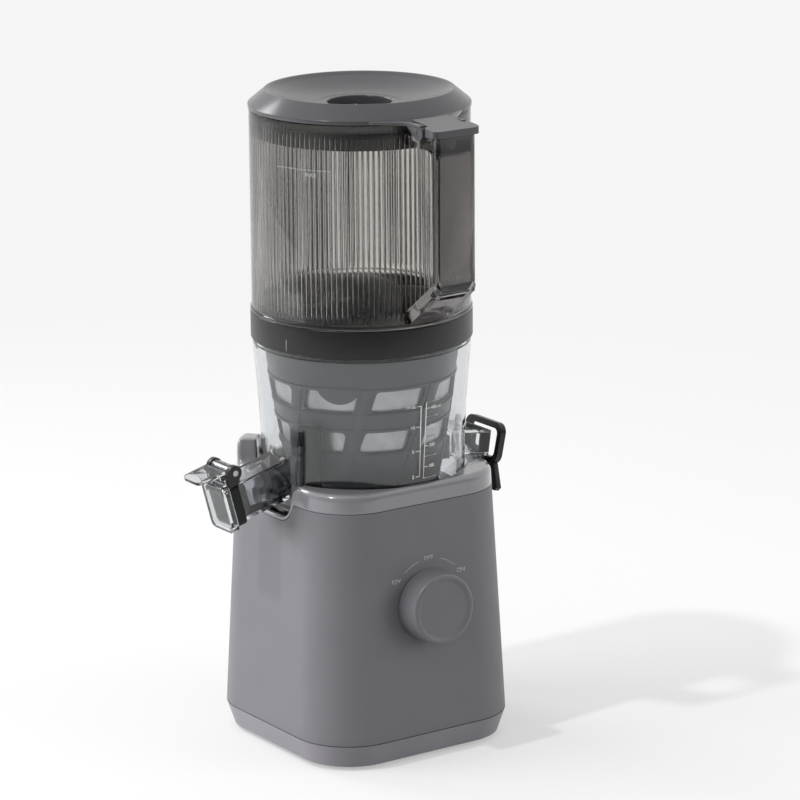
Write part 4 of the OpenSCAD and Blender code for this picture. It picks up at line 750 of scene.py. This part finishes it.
def on_face(points):
    """Turns points whose Z stands out of the front face to their place at the knob's centre: with the face's
    draft d, (x, y, z) goes to (x, y sin d - z cos d - half side, y cos d + z sin d + the knob's height)."""
    s = bpy.context.scene.juicer_base
    draft = math.atan2(s.foot_half - s.deck_half, s.deck_seam - s.seam)
    y, z = points[..., 1], points[..., 2]
    out = y * math.sin(draft) - z * math.cos(draft) - base_half(s.knob_height / MM)
    return np.stack([points[..., 0], out, y * math.cos(draft) + z * math.sin(draft) + s.knob_height / MM], -1)


class JUICER_OT_knob(bpy.types.Operator):
    """Turns the knob: a slightly tapered side, a rounded rim and a shallow dish"""
    bl_idname = "juicer.knob"
    bl_label = "Knob"

    def execute(self, context):
        s = context.scene.juicer_base
        r, h = s.knob_radius / MM, s.knob_depth / MM
        gap, flare, rim, bevel, dish = 0.5, 0.7, 2.6, 2.4, 1.5
        knob = turned("knob_cap", [(r - 3, gap), (r + flare, gap, 0.5), (r, h, 2.0), (r - rim, h, 0.9),
                                   (r - rim - bevel, h - dish, 3.0), (3, h - dish)],
                      closed=False, around=128, move=on_face)
        place(knob, "knob", "satin_abs_knob", ["knob"])
        return {"FINISHED"}


FLUTE_ENDS = (5, 8)     # distance from the drum's rims over which the flutes fade in
COLLAR_BORE = 72.2      # inner radius of the lock's collar


class JUICER_OT_hopper(bpy.types.Operator):
    """Turns the smoke drum with its inner flutes and the lock ring below it"""
    bl_idname = "juicer.hopper"
    bl_label = "Hopper"

    def execute(self, context):
        s = context.scene.juicer_hopper
        r, low, high, wall = s.radius / MM, s.bottom / MM, s.top / MM, s.wall / MM
        inner, count, depth = r - wall, s.flutes, s.flute_depth / MM
        plain, full = FLUTE_ENDS

        def flute(points):
            """Draws the columns together round each rib, by angle - 0.55 sin(count angle) / count, and moves
            the inner wall in by depth (1 - step(|sin(count angle / 2)| / 0.5)), fading out near both rims."""
            radius = np.hypot(points[..., 0], points[..., 1])
            angle = np.arctan2(points[..., 1], points[..., 0])
            angle = angle - 0.55 * np.sin(count * angle) / count
            z = points[..., 2]
            fade = smooth_step(z, low + plain, low + full) * (1 - smooth_step(z, high - full, high - plain))
            rib = 1 - smooth_step(abs(np.sin(count * angle / 2)), 0.0, 0.5)
            reach = radius - depth * rib * fade * (radius < inner + 0.3)
            return np.stack([reach * np.cos(angle), reach * np.sin(angle), z], -1)

        levels = [(inner, z) for z in (high - plain, high - full, high - 40, low + 60, low + full,
                                       low + plain)]
        ring_low, ring = s.ring_bottom / MM, s.ring_radius / MM
        drum = turned("smoke_drum", [(inner, low, 0.3), (ring, low, 0.4), (ring, low + 1.7, 0.5),
                                     (r, low + 3.2, 1.2), (r, high, 0.8), (inner, high, 0.8), *levels],
                      around=count * 10, steps=4, move=flute, sharp=60)
        place(drum, "hopper", "smoked_san", ["hopper_drum"])
        ring_high = low - 0.1
        collar = turned("lock_collar", [(COLLAR_BORE, ring_low, 0.3), (ring, ring_low, 0.8),
                                        (ring, ring_high, 1.0), (COLLAR_BORE, ring_high, 0.3)], around=240)
        place(collar, "hopper", "textured_abs_black", ["lock_ring"])
        return {"FINISHED"}


LID_WALL = 2.4          # thickness of the dished top
SKIRT_WALL = 1.8        # thickness of the skirt
HOOD_HALF = 18.3        # half width of the plate over the hinge
HOOD_SLOT = 14.3        # half width of the slot between its arms
HOOD_REACH = 97.0       # how far the arms reach to the front
HOOD_SLOT_END = 79.3    # where the slot ends
HOOD_THICK = 2.15       # thickness of the plate
TONGUE_CUT = 7.0        # how far behind the band's front the hinge's tongue is cut off
TONGUE_FOOT = 430.0     # height below which nothing of the tongue is kept


class JUICER_OT_lid(bpy.types.Operator):
    """Turns the lid with its bevel, rim and dished top, and adds the tongue that flares out to the hinge"""
    bl_idname = "juicer.lid"
    bl_label = "Lid"

    def execute(self, context):
        s = context.scene.juicer_lid
        band, rim, top, hole = s.band_radius / MM, s.rim_radius / MM, s.top / MM, s.hole_radius / MM
        low, bevel, lip = s.band_bottom / MM, s.bevel_foot / MM, s.hole_lip / MM
        chute, skirt, foot = s.chute_bottom / MM, s.skirt_radius / MM, s.skirt_bottom / MM
        dish = self.dish(rim - 2.2, top - 1.0, hole + 5, lip)
        under = [(x, z - LID_WALL) for x, z in dish[::-1]]
        top_shell = turned("lid_shell", [
            (band, low, 0.3), (band, bevel, 0.6), (rim, top, 0.9), (rim - 1.6, top - 0.3, 0.6), *dish,
            (hole + 2.6, lip + 0.35, 1.2), (hole, lip + 0.3, 1.0), (hole, chute, 0.4), (hole + 2, chute, 0.4),
            (hole + 2, lip - 2.2, 0.5), *under, (skirt - SKIRT_WALL, bevel - 1.6, 0.5),
            (skirt - SKIRT_WALL, foot, 0.3), (skirt, foot, 0.5), (skirt, low, 0.2)], around=240, steps=5)
        tongue = softened("lid", "lid_tongue", edge=0.0)
        self.keep_front(tongue, TONGUE_CUT - band)
        lid = join("lid_top", [top_shell, tongue, self.hood(band, bevel)])
        place(lid, "lid", "satin_abs_lid", ["lid"])
        return {"FINISHED"}

    def dish(self, rim, top, hole, lip):
        """The dished top's line without its ends: as a runs from 0 at the rim to 1 at the feed hole, the
        radius goes evenly between them and the height is lip + (top - lip) (1 - a)^1.7."""
        a = np.linspace(0, 1, 14)[1:-1]
        return list(zip(rim + (hole - rim) * a, lip + (top - lip) * (1 - a) ** 1.7))

    def hood(self, band, bevel):
        """The plate over the hinge: it flares out of the band and ends in two arms beside the handle's cap.
        Its right half runs from the slot's end round an arm and back to the band; the left mirrors it."""
        right = [(HOOD_SLOT, -HOOD_SLOT_END, 0.6), (HOOD_SLOT, -HOOD_REACH, 0.6),
                 (HOOD_HALF, -HOOD_REACH, 1.2), (HOOD_HALF, -band - 9, 14), (40, -band + 11.5, 4),
                 (30, -band + 16, 1)]
        left = [(-x, y, radius) for x, y, radius in right[::-1]]
        high = bevel - 0.05
        return slab("lid_hood", right + left, high - HOOD_THICK, high, edge=0.6)

    def keep_front(self, piece, y):
        """Cuts a piece down to what lies in front of y and above the tongue's foot, with its cut closed."""
        work = bmesh.new()
        work.from_mesh(piece.data)
        cut = bmesh.ops.bisect_plane(work, geom=[*work.verts, *work.edges, *work.faces],
                                     plane_co=(0, y * MM, 0), plane_no=(0, 1, 0), clear_outer=True)
        low = [v for v in work.verts if v.co.z < TONGUE_FOOT * MM]
        bmesh.ops.delete(work, geom=low, context="VERTS")
        edges = [e for e in cut["geom_cut"] if isinstance(e, bmesh.types.BMEdge) and e.is_valid]
        bmesh.ops.holes_fill(work, edges=edges, sides=0)
        work.to_mesh(piece.data)
        work.free()


SOFT_EDGED = {
    # node: (name, body, slot, finish, edge radius in millimetres)
    "bottom_tray": ("tray_shell", "base", "grey_tray_plastic", "satin_abs_tray", 0.5),
    "handle": ("handle_frame", "hopper", "smoke_plastic", "smoked_san_solid", 0.5),
    "handle_cap": ("handle_cover", "hopper", "black_plastic", "satin_abs_lid", 0.9),
    "hopper_floor": ("hopper_funnel", "hopper", "black_plastic", "textured_abs_black", 0.3),
    "juicing_bowl": ("bowl_shell", "bowl", "clear_plastic", "clear_san", 0.3),
    "strainer_frame": ("strainer_cone", "bowl", "dark_grey_plastic", "strainer_polymer", 0.3),
    "juice_cap": ("juice_cap_plate", "cap", "clear_plastic", "clear_san", 0.35),
    "cap_hinge": ("juice_cap_hinge", "cap", "black_plastic", "textured_abs_black", 0.3),
    "cap_seal": ("juice_cap_seal", "cap", "rubber_black", "silicone_black", 0.3),
    "pulp_gate": ("pulp_gate_ring", "gate", "black_plastic", "textured_abs_black", 0.5),
    "auger": ("auger_screw", "auger", "dark_grey_plastic", "auger_polymer", 0.0),
    "chopping_head": ("chopping_wings", "auger", "black_plastic", "textured_abs_black", 0.4),
    "feed_flap": ("feed_flap_disc", "flap", "black_plastic", "textured_abs_black", 0.3),
    "feet": ("rubber_feet", "base", "rubber_black", "silicone_black", 0.5),
    "cord_gland": ("gland", "base", "inner_black_plastic", "inner_nylon_black", 0.3),
    "outlet_seal": ("outlet_strip", "bowl", "rubber_black", "silicone_black", 0.2),
    "pulp_seal": ("pulp_lip", "bowl", "rubber_black", "silicone_black", 0.2),
}


class JUICER_OT_soft_edges(bpy.types.Operator):
    """Rounds the moulded edges of the pieces whose shape is already right"""
    bl_idname = "juicer.soft_edges"
    bl_label = "Rounded pieces"

    def execute(self, context):
        for node, (name, body, slot, finish, edge) in SOFT_EDGED.items():
            place(softened(node, name, edge), body, finish, [node])
        return {"FINISHED"}


# ---- printed marks: flat points (u, v) in millimetres that are then laid on what carries them ----

INK = 0.04              # thickness of the printed film
WORD = 3.3              # size of the scale's words
BOWL_HEIGHTS = (190, 210, 220, 230, 240, 250, 260)
BOWL_RADII = (69.2, 69.46, 69.87, 70.39, 71.05, 71.8, 72.59)
LEFT_LINE = ((-1.4, 196.3), (-1.2, 245.3))
LEFT_TICKS = ((245.3, "14 oz"), (230.8, "10"), (214.0, "6"), (196.3, "2"))
RIGHT_LINE = ((1.6, 194.6), (3.1, 247.4))
RIGHT_TICKS = ((247.4, ""), (243.0, "400 ml"), (237.0, ""), (230.0, "300"), (223.2, ""), (216.7, "200"),
               (209.5, ""), (202.3, "100"), (194.6, ""))
FILL_LINE = (-171.5, -138.5, 407.2)     # first and last degree, height
FILL_WORD = (-149.7, 403.8)             # degree, height
LOCK_TICK = (-166.0, 283.2, 290.6)      # degree, lowest and highest point
KNOB_WORDS = (("REV", (-25.6, 19.8)), ("OFF", (1.2, 31.9)), ("ON", (27.4, 19.0)))
KNOB_ARCS = ((128, 104), (73, 48))      # first and last degree
KNOB_ARC_MIDDLE, KNOB_ARC_RADIUS = 1.2, 31.6


def written(text, size, at, align="CENTER"):
    """A word as flat vertices and faces, its size high, with its middle or one of its ends at a point. The
    letters are drawn out by a fiftieth of their size, as ink spreads."""
    curve = bpy.data.curves.new("word", "FONT")
    curve.body, curve.size, curve.align_x, curve.align_y = text, size, align, "CENTER"
    curve.offset = size * 0.022
    word = bpy.data.objects.new("word", curve)
    mesh = bpy.data.meshes.new_from_object(word)
    vertices = np.empty(len(mesh.vertices) * 3)
    mesh.vertices.foreach_get("co", vertices)
    faces = [list(face.vertices) for face in mesh.polygons]
    bpy.data.objects.remove(word)
    bpy.data.curves.remove(curve)
    bpy.data.meshes.remove(mesh)
    return vertices.reshape(-1, 3)[:, :2] + at, faces


def drawn(line, width):
    """A line as a flat ribbon: each of its points gives two, half the width to its left and its right."""
    line = np.asarray(line, float)
    ahead = unit(np.gradient(line, axis=0))
    side = np.stack([-ahead[:, 1], ahead[:, 0]], -1) * width / 2
    first = np.arange(len(line) - 1)[:, None] * 2
    return np.stack([line - side, line + side], 1).reshape(-1, 2), (first + [0, 1, 3, 2]).tolist()


def round_axis(radius, arc_radius):
    """Lays marks on a cylinder about Z: (u, v) goes to (r cos a, r sin a, v), a being u / arc_radius."""
    def lay(points):
        a = points[:, 0] / arc_radius
        return np.stack([radius * np.cos(a), radius * np.sin(a), points[:, 1]], -1)
    return lay


def round_bowl(points):
    """Lays marks on the bowl: u is an arc from the -Y side and v a height, with which the radius grows."""
    u, z = points.T
    r = np.interp(z, BOWL_HEIGHTS, BOWL_RADII) + INK
    return np.stack([r * np.sin(u / r), -r * np.cos(u / r), z], -1)


def beside_knob(points):
    """Lays marks on the sloping front, with u and v from the knob's centre."""
    return on_face(np.concatenate([points, np.full((len(points), 1), INK)], 1))


def printed(name, marks, lay, body, finish):
    """Marks as one film of ink: lay puts their flat points on the surface that carries them."""
    vertices, faces = [], []
    for points, parts in marks:
        start = sum(len(v) for v in vertices)
        vertices.append(points)
        faces += [[start + i for i in part] for part in parts]
    piece = solid(name, lay(np.vstack(vertices)) * MM, faces)
    film = piece.modifiers.new("ink", "SOLIDIFY")
    film.thickness, film.offset = INK * MM, 0.0
    place(piece, body, finish)


class JUICER_OT_marks(bpy.types.Operator):
    """Prints the bowl's scale, the hopper's fill line, the lock's tick and the words round the knob"""
    bl_idname = "juicer.marks"
    bl_label = "Printed marks"

    def execute(self, context):
        hopper = context.scene.juicer_hopper
        printed("bowl_scale", self.scale(), round_bowl, "bowl", "pad_print_white")
        drum, ring = hopper.radius / MM, hopper.ring_radius / MM
        printed("fill_line", self.fill_line(drum), round_axis(drum + INK, drum), "hopper",
                "pad_print_grey")
        degree, low, high = LOCK_TICK
        at = math.radians(degree) * ring
        printed("lock_tick", [drawn([(at, low), (at, high)], 0.4)], round_axis(ring + INK, ring + INK),
                "hopper", "pad_print_grey")
        printed("switch_words", self.switch_words(), beside_knob, "base",
                "pad_print_grey")
        return {"FINISHED"}

    def scale(self):
        """Two upright lines with ticks and numbers. On the right a tick without a number is longer."""
        marks = [drawn(LEFT_LINE, 0.7), drawn(RIGHT_LINE, 0.7)]
        for z, word in LEFT_TICKS:
            marks += [drawn([(-4.6, z), (-1.3, z)], 0.55), written(word, WORD, (-5.6, z), "RIGHT")]
        (foot_u, foot_z), (head_u, head_z) = RIGHT_LINE
        for z, word in RIGHT_TICKS:
            start = foot_u + (head_u - foot_u) * (z - foot_z) / (head_z - foot_z)
            end = start + (3.4 if word else 10.8)
            marks.append(drawn([(start, z), (end, z)], 0.55))
            if word:
                marks.append(written(word, WORD, (end + 0.7, z), "LEFT"))
        return marks

    def fill_line(self, radius):
        """A level line and a word on the drum."""
        first, last, z = FILL_LINE
        arc = np.radians(np.linspace(first, last, 24)) * radius
        degree, word_z = FILL_WORD
        return [drawn(np.stack([arc, 0 * arc + z], -1), 0.35),
                written("MAX", 4.0, (math.radians(degree) * radius, word_z))]

    def switch_words(self):
        """The words and the two arcs round the knob."""
        marks = [written(word, 4.3, at) for word, at in KNOB_WORDS]
        for first, last in KNOB_ARCS:
            a = np.radians(np.linspace(first, last, 20))
            arc = np.stack([KNOB_ARC_MIDDLE + KNOB_ARC_RADIUS * np.cos(a), KNOB_ARC_RADIUS * np.sin(a)], -1)
            marks.append(drawn(arc, 0.45))
        return marks


# ---- the studio; lengths in this section are in metres ----

BACK_RISE = 0.6                         # how far the palest direction points up, for 1 away from the camera
BACK_SPREAD = (-0.1, 0.45)              # share of that direction over which the studio goes from dim to pale
FLOOR_RINGS = (0.02, 0.3, 1.0, 4.0)     # radii of the floor's rings
NEAR_FLOOR = (0.8, 1.2)                 # distance to the front over which the floor goes dim in gloss
SHADOW_FLOOR = (0.45, 1.3)              # distance from the axis over which the shadow fades out
FLAG_BEHIND, FLAG_SIDE = 0.24, 0.35     # the flags' distance behind the axis, and their width and height
SUN_PLACE = (-0.68, -0.03, 1.0)
SOFT_LIGHTS = {
    # name: ((width, height), place)
    "fill": ((1.6, 1.2), (1.55, -1.85, 0.7)),
    "side": ((1.6, 0.9), (-2.1, 1.1, 0.48)),
    "rim": ((0.9, 0.9), (-0.7, 2.1, 1.6)),
}


def looked(tree):
    """1 for the rays that pass through glass or that gloss mirrors."""
    path = add(tree, "ShaderNodeLightPath").outputs
    return add(tree, "ShaderNodeMath", {0: path["Is Transmission Ray"], 1: path["Is Glossy Ray"]},
               operation="MAXIMUM").outputs[0]


def seen(tree, share):
    """1 for the rays that go to the eye, and a share for those through glass or in gloss."""
    path = add(tree, "ShaderNodeLightPath").outputs
    part = add(tree, "ShaderNodeMath", {0: looked(tree), 1: share}, operation="MULTIPLY").outputs[0]
    return add(tree, "ShaderNodeMath", {0: path["Is Camera Ray"], 1: part}, operation="MAXIMUM").outputs[0]


class JUICER_OT_stage(bpy.types.Operator):
    """Sets up the floor, the lights, the world and the camera"""
    bl_idname = "juicer.stage"
    bl_label = "Stage"

    def execute(self, context):
        stage = context.scene.juicer_stage
        self.away = np.array([-math.sin(stage.azimuth), math.cos(stage.azimuth), 0])
        self.right = np.array([math.cos(stage.azimuth), math.sin(stage.azimuth), 0])
        self.world(context, stage)
        self.floor(context, stage)
        self.flags(stage)
        self.camera(context, stage)
        self.lamps(context, stage)
        return {"FINISHED"}

    def world(self, context, stage):
        """A dim even light on the object, and a pale background to the eye. Gloss and glass see the half
        behind the object pale and the half in front of it dim."""
        world = bpy.data.worlds.new("studio")
        world.use_nodes = True
        tree = world.node_tree
        tree.nodes.clear()
        unseen = add(tree, "ShaderNodeMapRange", {"Value": looked(tree)}, To_Min=stage.sky_strength,
                     To_Max=0.0)
        dim = add(tree, "ShaderNodeBackground", {"Strength": unseen.outputs[0]}, Color=linear("FFFFFF"))
        pale = add(tree, "ShaderNodeBackground", Color=linear("F4F4F4"), Strength=1.0)
        direction = add(tree, "ShaderNodeTexCoord").outputs["Generated"]
        facing = add(tree, "ShaderNodeVectorMath", {0: direction, 1: (*self.away[:2], BACK_RISE)},
                     operation="DOT_PRODUCT")
        low, high = BACK_SPREAD
        share = add(tree, "ShaderNodeMapRange", {"Value": facing.outputs["Value"]},
                    interpolation_type="SMOOTHSTEP", From_Min=low, From_Max=high, To_Min=stage.front_gloss,
                    To_Max=stage.gloss_share)
        mixed = add(tree, "ShaderNodeMixShader", {0: seen(tree, share.outputs[0]), 1: dim.outputs[0],
                                                  2: pale.outputs[0]})
        add(tree, "ShaderNodeOutputWorld", {"Surface": mixed.outputs[0]})
        context.scene.world = world

    def floor(self, context, stage):
        """A pale disc that keeps a light shadow and fades into the background with distance. It throws only a
        part of its light back on the object, and gloss and glass see it dim far out to the front."""
        turn = np.linspace(0, 2 * np.pi, 96, endpoint=False)
        ring = np.stack([np.cos(turn), np.sin(turn), 0 * turn], 1)
        points = np.stack([ring * radius for radius in FLOOR_RINGS], 0)
        floor = surface("studio_floor", points, wrap_v=True, cap_start=True, scale=1.0)
        painted, tree = new_material("painted_floor")
        lit = add(tree, "ShaderNodeBsdfDiffuse", Color=linear(context.scene.juicer_finish.floor))
        ahead = add(tree, "ShaderNodeVectorMath", {0: object_point(tree), 1: -self.away},
                    operation="DOT_PRODUCT")
        low, high = NEAR_FLOOR
        unlit = add(tree, "ShaderNodeMapRange", {"Value": ahead.outputs["Value"]},
                    interpolation_type="SMOOTHSTEP", From_Min=low, From_Max=high,
                    To_Min=1 - stage.floor_gloss, To_Max=1 - stage.front_gloss).outputs[0]
        diffuse = add(tree, "ShaderNodeLightPath").outputs["Is Diffuse Ray"]
        bounced, mirrored = (
            add(tree, "ShaderNodeMath", {0: rays, 1: share}, operation="MULTIPLY").outputs[0]
            for rays, share in ((diffuse, 1 - stage.bounce), (looked(tree), unlit)))
        dimmed = add(tree, "ShaderNodeMath", {0: bounced, 1: mirrored}, operation="MAXIMUM").outputs[0]
        bsdf = add(tree, "ShaderNodeMixShader", {0: dimmed, 1: lit.outputs[0]})
        plain = add(tree, "ShaderNodeEmission", Color=linear("F5F5F5"), Strength=1.0)
        gap = add(tree, "ShaderNodeVectorMath", {0: object_point(tree)}, operation="LENGTH")
        low, high = SHADOW_FLOOR
        far = add(tree, "ShaderNodeMapRange", {"Value": gap.outputs["Value"]}, From_Min=low, From_Max=high,
                  To_Min=stage.shadow_share, To_Max=1.0)
        back = add(tree, "ShaderNodeMapRange", {"Value": unlit}, From_Min=1.0, From_Max=0.0)
        share = add(tree, "ShaderNodeMath", {0: seen(tree, back.outputs[0]), 1: far.outputs[0]},
                    operation="MULTIPLY").outputs[0]
        mixed = add(tree, "ShaderNodeMixShader", {0: share, 1: bsdf.outputs[0], 2: plain.outputs[0]})
        close(tree, mixed.outputs[0])
        floor.data.materials.append(painted)

    def flags(self, stage):
        """Two black cards that hang behind the hopper with a gap between them. Only glass sees them, so that
        its flutes split the pale studio into light and dark lines."""
        black, tree = new_material("black_card")
        close(tree, add(tree, "ShaderNodeEmission", Color=linear("0A0A0A"), Strength=1.0).outputs[0])
        for name, inner, outer in (("flag_left", stage.flag_left, stage.flag_left - FLAG_SIDE),
                                   ("flag_right", stage.flag_right, stage.flag_right + FLAG_SIDE)):
            row = np.array([self.away * FLAG_BEHIND + self.right * side for side in (inner, outer)])
            heights = (stage.flag_foot, stage.flag_foot + FLAG_SIDE)
            card = surface(name, np.stack([row + [0, 0, z] for z in heights]), scale=1.0)
            card.data.materials.append(black)
            card.visible_camera = card.visible_diffuse = card.visible_shadow = card.visible_glossy = False

    def lamps(self, context, stage):
        """A small high light on the left that throws the shadow, and three soft ones. Only the rim light
        shows in gloss and through glass, where the other two would leave hard white bands."""
        sun = bpy.data.lights.new("key_light", "SUN")
        sun.energy = stage.key_strength
        sun.angle = math.radians(2.5)
        self.lamp(context, sun, SUN_PLACE, Vector((0, 0, 0)))
        for name, (size, spot) in SOFT_LIGHTS.items():
            soft = bpy.data.lights.new(f"{name}_light", "AREA")
            soft.shape = "RECTANGLE"
            soft.size, soft.size_y = size
            soft.energy = getattr(stage, f"{name}_power")
            lamp = self.lamp(context, soft, spot, Vector((0, 0, stage.aim_height)))
            lamp.visible_glossy = lamp.visible_transmission = name == "rim"

    def lamp(self, context, data, spot, target):
        """Hangs a light at a spot and turns it to a target."""
        lamp = bpy.data.objects.new(data.name, data)
        context.scene.collection.objects.link(lamp)
        lamp.location = spot
        lamp.rotation_euler = (Vector(spot) - target).to_track_quat("Z", "Y").to_euler()
        return lamp

    def camera(self, context, stage):
        """The eye stands back from the aim along a direction given by azimuth and elevation."""
        level, rise = math.cos(stage.elevation), math.sin(stage.elevation)
        back = Vector((*(-self.away[:2] * level), rise))
        data = bpy.data.cameras.new("camera")
        data.lens = stage.lens
        data.sensor_width = 36.0
        data.clip_end = 50
        camera = bpy.data.objects.new("camera", data)
        context.scene.collection.objects.link(camera)
        aim = Vector((0, 0, stage.aim_height)) + Vector(self.right) * stage.aim_side
        camera.location = aim + back * stage.distance
        turn = back.to_track_quat("Z", "Y").to_matrix().to_4x4()
        camera.rotation_euler = (turn @ Matrix.Rotation(stage.roll, 4, "Z")).to_euler()
        context.scene.camera = camera
        context.scene.view_settings.view_transform = "Standard"


class JUICER_PT_panel(bpy.types.Panel):
    """Lists the juicer's pieces"""
    bl_label = "Cold press juicer"
    bl_space_type = "VIEW_3D"
    bl_region_type = "UI"
    bl_category = "Juicer"

    def draw(self, context):
        for step in STEPS:
            self.layout.operator(step.bl_idname)


GROUPS = {"juicer_stage": JuicerStage, "juicer_finish": JuicerFinish, "juicer_base": JuicerBase,
          "juicer_hopper": JuicerHopper, "juicer_lid": JuicerLid}
STEPS = [JUICER_OT_stage, JUICER_OT_finishes, JUICER_OT_housing, JUICER_OT_deck, JUICER_OT_knob,
         JUICER_OT_hopper, JUICER_OT_lid, JUICER_OT_soft_edges, JUICER_OT_marks]


def register():
    for cls in [*GROUPS.values(), *STEPS, JUICER_PT_panel]:
        bpy.utils.register_class(cls)
    for name, group in GROUPS.items():
        setattr(bpy.types.Scene, name, bpy.props.PointerProperty(type=group))


def unregister():
    for name in GROUPS:
        delattr(bpy.types.Scene, name)
    for cls in reversed([*GROUPS.values(), *STEPS, JUICER_PT_panel]):
        bpy.utils.unregister_class(cls)


def main():
    register()
    for step in STEPS:
        group, name = step.bl_idname.split(".")
        getattr(getattr(bpy.ops, group), name)()


if __name__ == "__main__":
    main()
